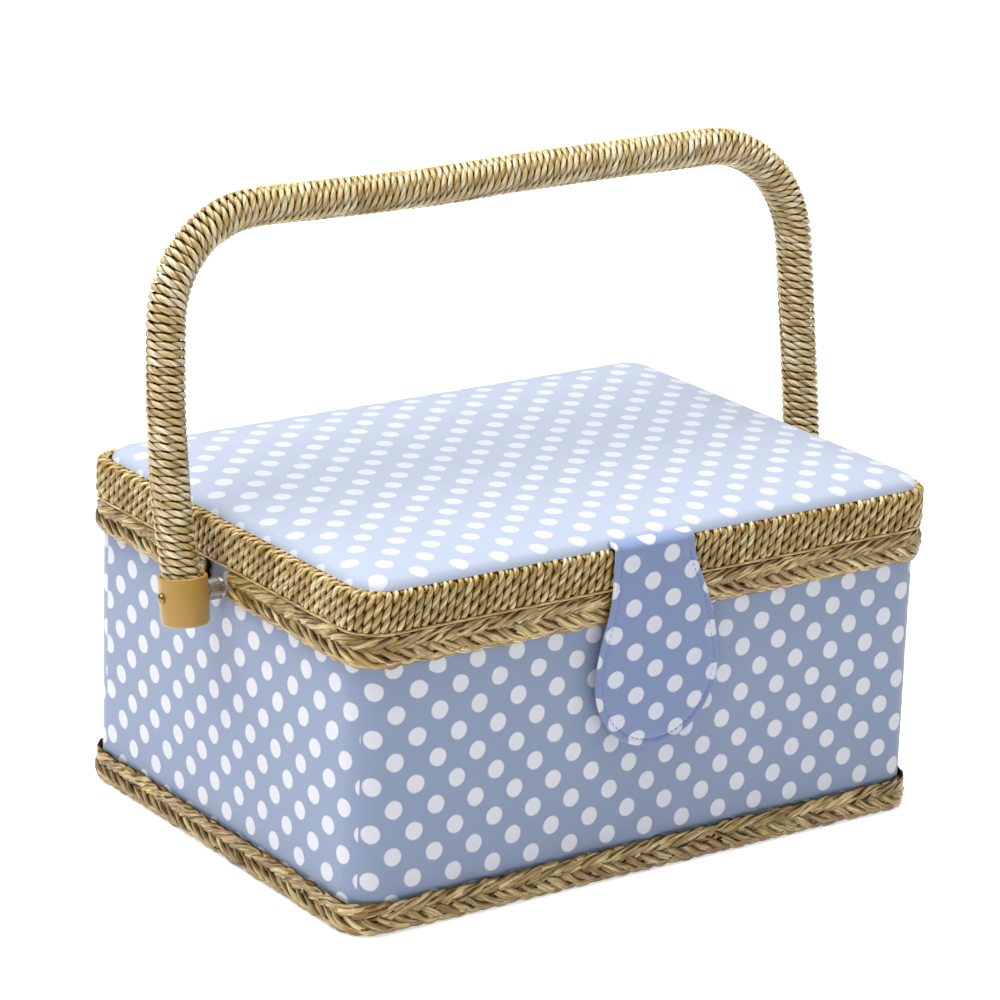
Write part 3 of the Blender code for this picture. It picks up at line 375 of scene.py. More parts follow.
def makeFinishes():
    print("finishes")
    made = {}
    made["poplin"] = dottedPoplin("dottedCottonPoplin", "#94A2BE", "#8E9CB9", "#E2E4EC", 4.15 * mm)
    # the lid's cloth is the same print with painted light: a paler, greyer ground for the light from
    # above, and greyer dots
    made["paleDotted"] = dottedPoplin("litCottonPoplin", "#A6B0C2", "#A1ABBE", "#C6CAD3", 3.95 * mm)
    # the flap's copy of the print is a little deeper and bluer than the box's
    made["deepDotted"] = dottedPoplin("deepCottonPoplin", "#8797BD", "#8191B7", "#DDDFEA", 4.1 * mm)
    # Twisted paper cord (Danish cord): smooth, half-matt straw brown, paper fibres 0.3 mm wide
    # in each of these, the colour after the tones is the dark tone of the shade painted into the grooves
    made["paperCord"] = plantFibre("twistedPaperCord", ((0.5, "#6C4A0E"), (0.9, "#FAE8B4"),
                                   (0.7, "#AD8A3C")), "#231502", (110.0, 9.0), 0.36)
    # The handle's cord is the same cord with painted light: a brighter copy for the strong light from
    # above
    made["handleCord"] = plantFibre("litTwistedPaperCord", ((0.5, "#80602A"), (0.9, "#FFF6DA"),
                                    (0.7, "#CCAE6C")), "#2E1D05", (110.0, 9.0), 0.34)
    # Braided wheat straw: flat split straws 2 mm wide, glossier, streaked brown and gold
    made["straw"] = plantFibre("plaitedWheatStraw", ((0.5, "#563808"), (0.9, "#FCE7A8"),
                               (0.7, "#A27E32")), "#1C1002", (70.0, 7.0), 0.33, 30.0)
    # Injection-moulded ABS, warm tan, fine satin; a faint mottle 2 mm wide from the mould
    made["capPlastic"] = speckled("mouldedTanAbs", "#B68F44", "#B08A3F", 500.0,
                                  {"Roughness": 0.36, "Subsurface Weight": 0.08,
                                   "Subsurface Radius": (0.004, 0.0025, 0.001)}, 0.02 * mm)
    # Brass, tumbled and lightly tarnished: brown-gold, brighter where it is rubbed
    made["brass"] = speckled("tumbledBrass", "#A58A4E", "#7C6434", 900.0,
                             {"Metallic": 1.0, "Roughness": 0.34}, 0.03 * mm)
    # Zinc-plated steel, grey, its grain under 1 mm
    made["steel"] = speckled("zincPlatedSteel", "#A9A9AB", "#8C8D90", 700.0,
                             {"Metallic": 1.0, "Roughness": 0.38}, 0.02 * mm)
    # Clear acrylic tube, hazed by the saw and by handling
    made["clear"] = speckled("clearAcrylic", "#E9E2D2", "#D8CFBC", 300.0,
                             {"Roughness": 0.18, "Transmission Weight": 0.85, "IOR": 1.49})
    # Unbleached cotton twill lining, with a 1 mm slub
    made["lining"] = speckled("creamCottonLining", "#E9E4D8", "#DDD6C6", 850.0,
                              {"Roughness": 0.88, "Sheen Weight": 0.2}, 0.12 * mm)
    # Grey board of recycled paper, its flecks about 2 mm wide, and black kraft card, as fine
    made["board"] = speckled("greyPaperBoard", "#A58F6F", "#8A7658", 600.0, {"Roughness": 0.9}, 0.1 * mm)
    made["card"] = speckled("blackKraftCard", "#3B3A3C", "#2E2D30", 700.0, {"Roughness": 0.85}, 0.06 * mm)
    # Polypropylene, injection-moulded, milky white
    made["tray"] = speckled("milkyPolypropylene", "#E6E8EA", "#DEE1E4", 400.0,
                            {"Roughness": 0.38, "Subsurface Weight": 0.1,
                             "Subsurface Radius": (0.003, 0.003, 0.003)}, 0.015 * mm)
    # Knitted elastic tape, its ribs 1.2 mm apart along its length
    made["elastic"] = speckled("knittedElastic", "#E4E6EE", "#C4C8D6", 420.0, {"Roughness": 0.8},
                               0.3 * mm, (1.0, 0.08, 0.08))
    # Polyester sewing thread, deep blue, 0.4 mm thick
    made["thread"] = speckled("blueSewingThread", "#6478BC", "#566AAE", 2500.0,
                              {"Roughness": 0.5}, 0.03 * mm)
    return made


# wound cord

def twoPly(path, outward, cord, startTurn):
    # rings of a two-ply cord, Z-twist, that follows path; outward points off what it is wound on
    path = np.array(path)
    along = runLength(path)
    out, side = squareTo(np.gradient(path, axis=0), np.array(outward))
    around = fullTurn * np.arange(cord["sides"]) / cord["sides"]
    lobe = cord["waist"] + (1 - cord["waist"]) * np.abs(np.cos(around)) ** 0.7
    angle = around[None] + (startTurn - fullTurn * along / cord["plyPitch"])[:, None]
    across = cord["halfWidth"] * lobe * np.cos(angle)
    up = np.maximum(cord["halfThick"] * lobe * np.sin(angle), -cord["back"])
    # shade is painted into the groove between the plies and onto the cord's underside
    groove = (1 - np.abs(np.cos(around))) ** 2
    under = np.clip(0.42 - np.clip(up / cord["halfThick"], -1, 1), 0, 1)
    paintedShade = np.clip(0.8 * groove[None] + 1.5 * under, 0, 1)
    return ringsAbout(path, across, side, up, out), along, paintedShade


handle = {"pivotHeight": 123.5 * mm, "halfSpan": 170.5 * mm, "reach": 162.5 * mm, "bend": 48.3 * mm,
          "tilt": math.radians(8.5), "start": 5.4 * mm, "centreRadius": 7.5 * mm, "turnPitch": 3.6 * mm,
          "ringsPerTurn": 38, "halfWidth": 1.85 * mm, "halfThick": 1.4 * mm, "back": 1.0 * mm,
          "waist": 0.6, "plyPitch": 13.6 * mm, "sides": 12, "leftBow": 3.2 * mm, "rightBow": 0.5 * mm,
          "sag": 1.4 * mm, "sagX": -40 * mm, "sagReach": 50 * mm, "inCap": 2.4 * mm, "thinner": 0.35 * mm}


def handleLine(along, length):
    # place, outward normal and sideways axis on the handle's centre line, from the left leg over
    bend, lean, rise = handle["bend"], math.sin(handle["tilt"]), math.cos(handle["tilt"])
    cornerX, cornerZ = handle["halfSpan"] - bend, handle["reach"] - bend
    leg, arc = cornerZ - handle["start"], bend * math.pi / 2
    side, run = (-1, along) if along < length / 2 else (1, length - along)
    if run <= leg:
        x, z, out = handle["halfSpan"], handle["start"] + run, (1.0, 0.0)
    elif run <= leg + arc:
        out = (math.cos((run - leg) / bend), math.sin((run - leg) / bend))
        x, z = cornerX + out[0] * bend, cornerZ + out[1] * bend
    else:
        x, z, out = cornerX - (run - leg - arc), handle["reach"], (0.0, 1.0)
    # both legs bow out between cap and bend, the left one more, and the bar sags a little
    sag = handle["sag"] * math.exp(-((side * x - handle["sagX"]) / handle["sagReach"]) ** 2)
    sag *= easeFrom(cornerZ, 20 * mm, z)
    bow = handle["leftBow"] if side < 0 else handle["rightBow"]
    x += bow * math.sin(math.pi * min(1, max(0, z / cornerZ)))
    z -= sag
    point = np.array([side * x, z * lean, handle["pivotHeight"] + z * rise])
    return point, np.array([side * out[0], out[1] * lean, out[1] * rise]), np.array([0, rise, -lean])


def makeHandleWinding(finish):
    print("handle winding")
    leg = handle["reach"] - handle["bend"] - handle["start"]
    length = 2 * leg + math.pi * handle["bend"] + 2 * (handle["halfSpan"] - handle["bend"])
    turns = round(length / handle["turnPitch"])
    path, outward = [], []
    for share in np.linspace(0, 1, turns * handle["ringsPerTurn"] + 1).tolist():
        place, out, sideways = handleLine(share * length, length)
        angle = fullTurn * turns * share
        radial = math.cos(angle) * out + math.sin(angle) * sideways
        slack = 1 + 0.012 * waver(share * turns * 0.9, 3.1, angle)
        inCap = 1 - easeFrom(handle["inCap"], 3 * mm, min(share, 1 - share) * length)
        path.append(place + radial * (handle["centreRadius"] * slack - handle["thinner"] * inCap))
        outward.append(radial)
    rings, along, paintedShade = twoPly(path, outward, handle, 0.4)
    winding = tubes("handleWinding", rings[None], along[None], paintedShade=paintedShade[None])
    finishPiece(winding, "handle", "paper_cord", finish, "handle_wrap")


rim = {"halfX": 155 * mm, "halfY": 115.5 * mm, "corner": 17 * mm, "low": 135.7 * mm, "high": 153 * mm,
       "inner": 5.7 * mm, "under": 3.6 * mm, "turns": 260, "centre": 1.4 * mm, "turnRadius": 1.3 * mm,
       "lean": 2.2 * mm, "slip": 0.35 * mm, "ringsPerTurn": 26, "halfWidth": 1.9 * mm,
       "halfThick": 1.55 * mm, "back": 0.35 * mm, "swell": 0.6 * mm, "waist": 0.58,
       "plyPitch": 11.8 * mm, "sides": 12, "weltRadius": 0.62 * mm, "weltInset": 1.0 * mm,
       "weltDrop": 0.75 * mm}


def makeRimWinding(finish):
    # each turn goes out under the frame, up its face and in over its top; the rest is inside
    print("rim winding")
    length, swell = outlineLength(rim), rim["swell"]
    low, high = rim["low"] + rim["centre"], rim["high"] - rim["centre"] + swell
    bend, inner, centre = rim["turnRadius"], rim["inner"], rim["centre"]
    angles = [math.pi / 8 * step for step in (1, 2, 3)]
    profile = [(inner, low), (rim["under"], low), (centre + bend, low - swell)]
    profile += [(centre + bend * (1 - math.sin(angle)),
                 low - swell * math.cos(angle) + bend * (1 - math.cos(angle))) for angle in angles]
    profile += [(centre, low + bend), (centre, high - bend)]
    profile += [(centre + bend * (1 - math.cos(angle)), high - bend * (1 - math.sin(angle)))
                for angle in angles]
    profile = np.array(profile + [(centre + bend, high), (inner, high)])
    distance = runLength(profile)
    stops = np.linspace(0, distance[-1], rim["ringsPerTurn"])
    inset, height = [np.interp(stops, distance, profile[:, axis]) for axis in (0, 1)]
    slope = unit(np.stack([np.gradient(height), np.gradient(inset)], 1))  # outward in (out, up)
    allRings, allAlong, allPaintedShade = [], [], []
    for k in range(rim["turns"]):
        slip = rim["slip"] * waver(k * 0.37, 1.7, 0.3)
        lean = rim["lean"] * (1 + 0.5 * waver(k * 0.21, 5.2, 2.3))
        path, outward = [], []
        for away, up, (slopeOut, slopeUp) in zip(inset, height, slope):
            share = (up - low) / (high - low)
            base, out = outlinePoint(k * length / rim["turns"] + lean * (share - 0.5) + slip, rim)
            path.append((*(base - out * away), up))
            outward.append((*(out * slopeOut), slopeUp))
        rings, along, paintedShade = twoPly(path, outward, rim, 1.9 * k)
        allRings.append(rings)
        allAlong.append(along + k * 0.0273)
        allPaintedShade.append(paintedShade)
    winding = tubes("rimWinding", allRings, allAlong, paintedShade=allPaintedShade)
    finishPiece(winding, "lid", "paper_cord", finish, "lid_rim_wrap")


def makeRimWelt(finish):
    # a plain cord along the rim's lower edge, laid against the winding
    print("rim welt")
    steps, sides, radius = 360, 10, rim["weltRadius"]
    stops = np.arange(steps) * outlineLength(rim) / steps
    points = []
    for k, stop in enumerate(stops):
        base, out = outlinePoint(stop, rim)
        height = rim["low"] - rim["weltDrop"] + radius + 0.12 * mm * waver(k * 0.11, 0.5, 0)
        for angle in fullTurn * np.arange(sides) / sides:
            spot = base + out * (radius * math.cos(angle) - rim["weltInset"])
            points.append((*spot, height + radius * math.sin(angle)))
    welt = tubes("rimWelt", np.reshape(points, (1, steps, sides, 3)), [stops], loop=True)
    finishPiece(welt, "lid", "paper_cord", finish)


# straw plaits

plait = {"strands": 9, "period": 65 * mm, "halfWidth": 2.4 * mm, "halfThick": 1.05 * mm,
         "falling": 0.66, "split": 0.12, "depth": 0.66 * mm, "stepsPerPeriod": 44, "straws": 3,
         "crest": 0.965, "topLow": 120.0 * mm, "topHigh": 134.9 * mm, "topOff": 1.75 * mm,
         "gap": 9.2 * mm, "footLow": 0.3 * mm, "footHigh": 14.6 * mm, "footOff": 1.65 * mm}


def makePlait(name, low, high, standOff, start, end, seed, spare):
    # A flat plait of nine strands round the box, clockwise. Each strand runs over from its edge
    # to the middle and under to the other edge, so the two rows of strands form chevrons. The
    # upper row lies flat, broad and nearly level; the lower one is steep, round and tilted.
    # The strands may go beyond low and high by the two distances in spare.
    shape = grown(box, standOff)
    perimeter = outlineLength(shape)
    whole = end is None
    periods = round(perimeter / plait["period"])
    period = perimeter / periods if whole else plait["period"]
    span = perimeter if whole else (end - start) % perimeter
    steps = round((periods if whole else span / period) * plait["stepsPerPeriod"])
    middle, reach = (low + high) / 2, (high - low) / 2 - plait["halfWidth"] * 0.8
    profile = [(-1.0, 0.0)]
    for across in np.linspace(-0.94, 0.94, 9):
        ridge = abs(math.sin(math.pi * plait["straws"] * (across + 1) / 2))
        profile.append((across, 0.5 + 0.5 * ridge - 0.4 * across * across))
    profile = np.array(profile + [(1.0, 0.0), (0.6, -0.8), (-0.6, -0.8)])
    # painted shade on each strand's edges and on its back, where it meets the next strand
    edge = np.clip((np.abs(profile[:, 0]) - 0.62) / 0.38, 0, 1) + (profile[:, 1] < 0)
    crest, split, falling = plait["crest"], plait["split"], plait["falling"]
    allRings, allAlong, allPaintedShade = [], [], []
    for k in range(plait["strands"]):
        path, outward, widths, thicks, rolls, lifts, splitAndRimShade = [], [], [], [], [], [], []
        for step in range(steps + (0 if whole else 1)):
            share = step / steps
            distance = share * span
            phase = (distance / period + k / plait["strands"]) % 1
            falls = phase < falling
            phase = 0.5 * (phase / falling if falls else 1 + (phase - falling) / (1 - falling))
            lateral = math.asin(crest * math.cos(fullTurn * phase)) / math.asin(crest)
            above = lateral - split
            above /= 1 - math.copysign(split, above)
            lift = math.sin(math.pi * min(1, max(-1, above))) * (1 if falls else -1)
            where = Vector((distance * 90, 0, k * 7.3 + seed))
            if whole:
                where.xy = math.cos(fullTurn * share) * 14, math.sin(fullTurn * share) * 14
            lateral += 0.13 * noise.noise(where * 1.3)
            lift += 0.5 * noise.noise(where + Vector((31.7, 0, 0)))
            base, out = outlinePoint(-(start + distance), shape)
            path.append((*(base + out * plait["depth"] * max(-1.1, lift)), middle + reach * lateral))
            outward.append((*out, 0.0))
            upper = min(1, max(-1, (lateral - split) * 2))
            widths.append(1 + 0.05 * upper + 0.3 * noise.noise(where * 1.7 + Vector((0, 9.1, 0))))
            thicks.append(1 - 0.3 * upper)
            rolls.append(0.22 - 0.2 * upper + 0.7 * noise.noise(where * 2.1 + Vector((3.3, 0, 5.5))))
            lifts.append(lift)
            # painted shade along the split, where strands dive under, and on the upper row, in the rim's
            # shadow
            splitAndRimShade.append(math.exp(-((lateral - split) / 0.16) ** 2) + 0.35 * max(0, upper))
        path = np.array(path)
        ahead = np.roll(path, -1, 0) - np.roll(path, 1, 0) if whole else np.gradient(path, axis=0)
        out, side = squareTo(ahead, np.array(outward))
        turn = np.array(rolls)[:, None]
        side, out = side * np.cos(turn) + out * np.sin(turn), out * np.cos(turn) - side * np.sin(turn)
        across = profile[None, :, 0] * plait["halfWidth"] * np.array(widths)[:, None]
        up = profile[None, :, 1] * plait["halfThick"] * np.array(thicks)[:, None]
        rings = ringsAbout(path, across, side, up, out)
        rings[..., 2] = np.clip(rings[..., 2], low - spare[0], high + spare[1])
        allRings.append(rings)
        allAlong.append(np.arange(len(path)) * span / steps + k * 1.37)
        # painted shade where a strand dives under the others, added to the shade at the split and edges
        sunk = np.clip(0.1 - 0.9 * np.array(lifts), 0, 1) + 0.45 * np.array(splitAndRimShade)
        allPaintedShade.append(np.clip(0.8 * edge[None] + 0.8 * sunk[:, None], 0, 1))
    return tubes(name, allRings, allAlong, paintedShade=allPaintedShade, loop=whole)


def makePlaits(finish):
    print("straw plaits")
    shape, gap = grown(box, plait["topOff"]), plait["gap"]
    arc = shape["corner"] * math.pi / 2
    front, side = 2 * (shape["halfX"] - shape["corner"]), 2 * (shape["halfY"] - shape["corner"])
    # distances run clockwise from the front left corner: up the left side, then the back
    left = arc + side / 2
    right = 3 * arc + 1.5 * side + front
    whole = outlineLength(shape)
    for name, start, end, seed, node in (
            ("topPlaitBack", left + gap, right - gap, 11.0, "top_braid_back"),
            ("topPlaitFront", right + gap, whole + left - gap, 23.0, "top_braid_front")):
        piece = makePlait(name, plait["topLow"], plait["topHigh"], plait["topOff"], start, end, seed,
                          (0.7 * mm, 0.0))
        finishPiece(piece, "basket", "braid", finish, node)
    foot = makePlait("footPlait", plait["footLow"], plait["footHigh"], plait["footOff"], 0, None, 37.0,
                     (0.0, 0.6 * mm))
    finishPiece(foot, "basket", "braid", finish, "bottom_braid")


# cloth

box = {"halfX": 151.5 * mm, "halfY": 112 * mm, "corner": 14 * mm, "seam": 12.5 * mm,
       "low": 1.1 * mm, "high": 135.4 * mm, "thick": 0.6 * mm, "wave": 0.22 * mm,
       "frontDotX": -143.5 * mm, "frontDotZ": 106.2 * mm, "sideDotY": 56.0 * mm, "sideDotZ": 64.2 * mm}


def outlineStops(shape, cell, turns, extra=()):
    # distances round a rounded rectangle: about a cell apart on the runs, closer in the corners
    stops, start, arc = [], 0.0, shape["corner"] * math.pi / 2
    for half in (shape["halfX"], shape["halfY"]) * 2:
        run = 2 * (half - shape["corner"])
        parts = max(1, round(run / cell))
        stops += [start + run * k / parts for k in range(parts)]
        stops += [start + run + arc * k / turns for k in range(turns)]
        start += run + arc
    return sorted(stops + list(extra))


def strip(ring, other):
    # quads between two closed rows of points
    after = ring[1:] + ring[:1], other[1:] + other[:1]
    return [list(face) for face in zip(ring, *after, other)]


def standingBand(stops, heights, shape, thick, slack):
    # a closed band of cloth that stands on a rounded outline, and (row, next row, column) of its faces
    points, last = [], len(heights) - 1
    for layer in range(2):
        for row, height in enumerate(heights):
            for stop in stops:
                base, out = outlinePoint(stop, shape)
                off = slack(base, height, min(row, last - row)) - layer * thick
                points.append((*(base + out * off), height))
    rings = np.arange(len(points)).reshape(2, last + 1, len(stops)).tolist()
    pairs = [(layer, row, layer, row + 1) for row in range(last) for layer in range(2)]
    faces, cells = [], []
    for layer, row, nextLayer, nextRow in pairs + [(0, 0, 1, 0), (0, last, 1, last)]:
        faces += strip(rings[layer][row], rings[nextLayer][nextRow])
        cells += [(row, nextRow, column) for column in range(len(stops))]
    return points, faces, cells


def makeBoxCloth(finish):
    # the outer cloth: one length round the front, right and back, and a panel on the left
    print("box cloth")
    length = outlineLength(box)
    seam = length - box["seam"]
    stops = outlineStops(box, cell=7 * mm, turns=12, extra=[seam])
    heights = np.linspace(box["low"], box["high"], 41)

    def slack(base, height, rowsIn):
        wave = box["wave"] * waver(base[0] * 28, base[1] * 28, height * 20)
        return wave * min(1, rowsIn / 4)

    # the left panel runs from the back corner to a seam that no dot crosses in the front one
    insideX, insideY = box["halfX"] - box["corner"], box["halfY"] - box["corner"]
    sideStart = length - box["corner"] * math.pi / 2 - 2 * insideY

    # both work in mm: the cloth was pulled as it was sewn, so some rows lean or lie off their lattice
    def frontPlace(distance, height):
        x, z = (distance - insideX) / mm, height / mm
        lift = 3.4 * (max(0, -90 - x) / 55) ** 1.6
        shift = -0.011 * (x + 30) * easeFrom(20, 80, z) * easeFrom(-140, 30, x)
        shift -= 0.85 * easeFrom(112, 14, -x) + 0.45 * easeFrom(133, 8, -x)
        pulled = easeFrom(110, 3, z - lift)
        x, z = x - shift + 1.7 * pulled, z - lift + pulled
        return x * mm - box["frontDotX"], z * mm - box["frontDotZ"]

    def sidePlace(distance, height):
        y, z = (insideY - distance + sideStart) / mm, height / mm
        upFront = easeFrom(75, 25, z) * easeFrom(10, 30, -y)
        shift = -3 * easeFrom(70, 32, -y) - 2.7 * upFront
        shift -= 1.9 * easeFrom(-52, 25, -z) * easeFrom(-45, 30, y)
        shift -= 1.6 * easeFrom(65, 20, y) * easeFrom(-75, 30, -z)
        lift = 2.5 * easeFrom(74, 34, -y) + 1.2 * upFront + 2.6 * (max(0, y) / 90) ** 1.5
        return box["sideDotY"] - (y - shift) * mm, (z - lift) * mm - box["sideDotZ"]

    points, faces, cells = standingBand(stops, heights, box, box["thick"], slack)
    uv, tiny = [], 1e-6
    for low, high, column in cells:
        start, end = (stops + [length])[column:column + 2]
        place = sidePlace if sideStart - tiny <= start < seam - tiny else frontPlace
        if start >= seam - tiny:
            start, end = start - length, end - length
        uv += [place(start, heights[low]), place(end, heights[low]), place(end, heights[high]),
               place(start, heights[high])]
    cloth = meshPiece("boxCloth", points, faces, uv)
    finishPiece(cloth, "basket", "dotted_cloth", finish, "outer_cloth")


def crowdedStops(half, cell):
    # stops from -half to half: close together near both ends, then about a cell apart
    near = [k * mm for k in (0, 0.5, 1.2, 2.2, 3.6, 5.5, 8.0, 11.0) if k * mm < 0.7 * half]
    inner = half - near[-1]
    parts = max(2, round(2 * inner / cell))
    middle = [-inner + 2 * inner * k / parts for k in range(1, parts)]
    return [-half + k for k in near] + middle + [half - k for k in reversed(near)]


def padGrid(shape, cell):
    # (x, y, depth from the edge) over a rounded rectangle, row by row, and its counts of cells
    stopsX, stopsY = crowdedStops(shape["halfX"], cell), crowdedStops(shape["halfY"], cell)
    corner = shape["corner"]
    insideX, insideY = shape["halfX"] - corner, shape["halfY"] - corner
    spots = []
    for stopY in stopsY:
        for stopX in stopsX:
            x, y = stopX, stopY
            u, v = (abs(x) - insideX) / corner, (abs(y) - insideY) / corner
            if u > 0 and v > 0:
                # each corner square is drawn in to a quarter disc
                x = math.copysign(insideX + corner * u * math.sqrt(1 - v * v / 2), x)
                y = math.copysign(insideY + corner * v * math.sqrt(1 - u * u / 2), y)
            u, v = abs(x) - insideX, abs(y) - insideY
            depth = corner - (math.hypot(u, v) if u > 0 and v > 0 else max(u, v))
            spots.append((x, y, max(0, depth)))
    return spots, len(stopsX) - 1, len(stopsY) - 1


def gridFaces(countX, countY, first=0):
    wide = countX + 1
    return [[first + j * wide + i + step for step in (0, 1, wide + 1, wide)]
            for j in range(countY) for i in range(countX)]


def gridBorder(countX, countY):
    # numbers of a grid's border points, anticlockwise
    wide = countX + 1
    lastRow = countY * wide
    return [*range(countX), *range(countX, lastRow, wide),
            *range(lastRow + countX, lastRow, -1), *range(lastRow, 0, -wide)]


def slabFaces(countX, countY):
    # two grids of points, one after the other, and the strip between their borders
    stride = (countX + 1) * (countY + 1)
    border = gridBorder(countX, countY)
    return (gridFaces(countX, countY) + gridFaces(countX, countY, stride)
            + strip(border, [stride + k for k in border]))


cushion = {"inset": 4.5 * mm, "shift": 1.3 * mm, "corner": 15 * mm, "rimTop": 153 * mm,
           "lift": 0.7 * mm, "freeFrom": 4.5 * mm, "rollRadius": 14 * mm, "rollAngle": math.radians(43),
           "edge": 1.0 * mm, "crown": 1.0 * mm, "crownReach": 30 * mm, "puff": 0.9 * mm,
           "dotX": 11 * mm, "dotY": 32 * mm, "cell": 4 * mm}


def cushionHeight(depth):
    # the cloth leaves the rim steeply, rolls over and then rises slowly to the crown
    reach = cushion["rollRadius"] * math.sin(cushion["rollAngle"])
    slope = max(0, 1 - depth / reach) * math.sin(cushion["rollAngle"])
    roll = cushion["rollRadius"] * (math.sqrt(1 - slope * slope) - math.cos(cushion["rollAngle"]))
    edge = cushion["edge"] * (1 - math.exp(-depth / (0.9 * mm)))
    return roll + edge + cushion["crown"] * (1 - math.exp(-depth / cushion["crownReach"]))


def puffUp(piece, freePoints, frames, pressure, cap):
    # cloth simulation with air pressure and no gravity; only freePoints move, by cap at most
    pinned = piece.vertex_groups.new(name="sewnDown")
    free = set(freePoints)
    pinned.add([k for k in range(len(piece.data.vertices)) if k not in free], 1.0, "REPLACE")
    before = np.array([v.co for v in piece.data.vertices])
    choose(piece)
    bpy.ops.object.modifier_add(type="CLOTH")
    cloth = piece.modifiers[-1]
    cloth.settings.use_pressure = True
    cloth.settings.uniform_pressure_force = pressure
    cloth.settings.effector_weights.gravity = 0
    cloth.settings.vertex_group_mass = "sewnDown"
    cloth.settings.tension_stiffness = 25
    cloth.settings.compression_stiffness = 25
    cloth.point_cache.frame_start = 1
    cloth.point_cache.frame_end = frames
    for number in range(1, frames + 1):
        bpy.context.scene.frame_set(number)
    evaluated = piece.evaluated_get(bpy.context.evaluated_depsgraph_get())
    after = np.array([v.co for v in evaluated.data.vertices])
    piece.modifiers.remove(cloth)
    bpy.context.scene.frame_set(1)
    moved = after - before
    length = np.linalg.norm(moved, axis=1, keepdims=True)
    moved *= np.minimum(1, cap / np.maximum(length, 1e-9))
    piece.data.vertices.foreach_set("co", (before + moved).astype(np.float32).ravel())
    piece.vertex_groups.clear()
    piece.data.update()
    print("  puffed by", round(float(np.abs(moved).max()) / mm, 2), "mm")


def makeLidCushion(finish):
    # cloth drawn over the foam, rolled over the rim's inner edge and tucked behind it
    print("lid cushion")
    shape = {"halfX": rim["halfX"] - cushion["inset"], "halfY": rim["halfY"] - cushion["inset"],
             "corner": cushion["corner"]}
    insideX, insideY = shape["halfX"] - shape["corner"], shape["halfY"] - shape["corner"]
    spots, countX, countY = padGrid(shape, cushion["cell"])
    points = [(x, y, cushion["rimTop"] + cushion["lift"] + cushionHeight(depth)) for x, y, depth in spots]
    places = [spot[:2] for spot in spots]
    inner = [k for k, spot in enumerate(spots) if spot[2] > cushion["freeFrom"]]
    faces = gridFaces(countX, countY)
    border = above = gridBorder(countX, countY)
    # outset, height above the rim and distance along the cloth, in mm, from the roll to the seat
    tuck = ((0.15, 0.5, 0.3), (0.15, 0.2, 0.6), (-0.5, -0.08, 1.3), (-1.8, -0.3, 2.6), (-2.1, -3.2, 5.6))
    for outset, rise, cloth in tuck:
        below = list(range(len(points), len(points) + len(border)))
        faces += strip(above, below)
        above = below
        for x, y in [places[k] for k in border]:
            away = Vector((max(0, abs(x) - insideX), max(0, abs(y) - insideY))).normalized()
            awayX, awayY = math.copysign(away.x, x) * mm, math.copysign(away.y, y) * mm
            points.append((x + awayX * outset, y + awayY * outset, cushion["rimTop"] + rise * mm))
            places.append((x + awayX * cloth, y + awayY * cloth))
    faces.append(above)
    # the cushion sits a little forward and to the right, so the winding shows more behind and left
    shift = cushion["shift"]
    points = [(x + shift, y - shift, z) for x, y, z in points]
    uv = [(places[k][0] + shift - cushion["dotX"], places[k][1] - shift - cushion["dotY"])
          for face in faces for k in face]
    piece = meshPiece("lidCushion", points, faces, uv)
    puffUp(piece, inner, frames=16, pressure=4.0, cap=cushion["puff"])
    subdivide(piece)
    finishPiece(piece, "lid", "lid_cloth", finish, "lid_cover", "lid_foam")


# flap

flap = {"centre": -2.4 * mm, "topShift": -4.1 * mm, "neck": 21 * mm, "bulb": 33.1 * mm, "bulbZ": 94.3 * mm,
        "flareTop": 156 * mm, "shiftFrom": 122 * mm, "hingeZ": 153.7 * mm, "back": 115.8 * mm,
        "front": 119.1 * mm, "hem": 3.2 * mm, "dotX": 4.9 * mm, "dotZ": 108.6 * mm, "dotTurn": 0.08,
        "acrossStretch": 0.966, "alongStretch": 1.048, "pucker": 0.3 * mm, "stitch": 2.7 * mm,
        "seamTop": 149 * mm, "threadRadius": 0.22 * mm}


def flapHalfWidth(height):
    # half the flap's width: a round bulb that narrows into the neck
    if height < flap["bulbZ"]:
        drop = min(1, (flap["bulbZ"] - height) / flap["bulb"])
        return flap["bulb"] * math.sqrt(max(0, 1 - drop * drop))
    share = (height - flap["bulbZ"]) / (flap["flareTop"] - flap["bulbZ"])
    return flap["bulb"] + (flap["neck"] - flap["bulb"]) * ease(share)


def flapCentre(height):
    # the neck leans a little to the left
    rise = (height - flap["shiftFrom"]) / (flap["hingeZ"] - flap["shiftFrom"])
    return flap["centre"] + flap["topShift"] * ease(rise)


def flapFace(x, height, side):
    # how far in front of the box a place on the flap's front (1) or back (-1) lies
    if height < flap["bulbZ"]:
        edge = flap["bulb"] - math.dist((x, height), (0, flap["bulbZ"]))
    else:
        edge = flapHalfWidth(height) - abs(x)
    edge = max(0, edge)
    thick = (flap["front"] - flap["back"]) / 2
    inside = edge - flap["hem"]
    groove = 0.42 * math.exp(-(inside / (0.9 * mm)) ** 2)
    swell = thick * (0.72 + 0.28 * ease(inside / (4 * mm)) - groove)
    gathered = waver(x * 260, height * 260, 4.0 + side) * math.exp(-abs(inside) / (3 * mm))
    loose = waver(x * 55, height * 55, 9.0 + side) * min(1, edge / (6 * mm))
    bulge = swell * roundedEdge(edge, 1.0 * mm) + flap["pucker"] * (gathered + loose)
    return (flap["front"] + flap["back"]) / 2 + side * bulge


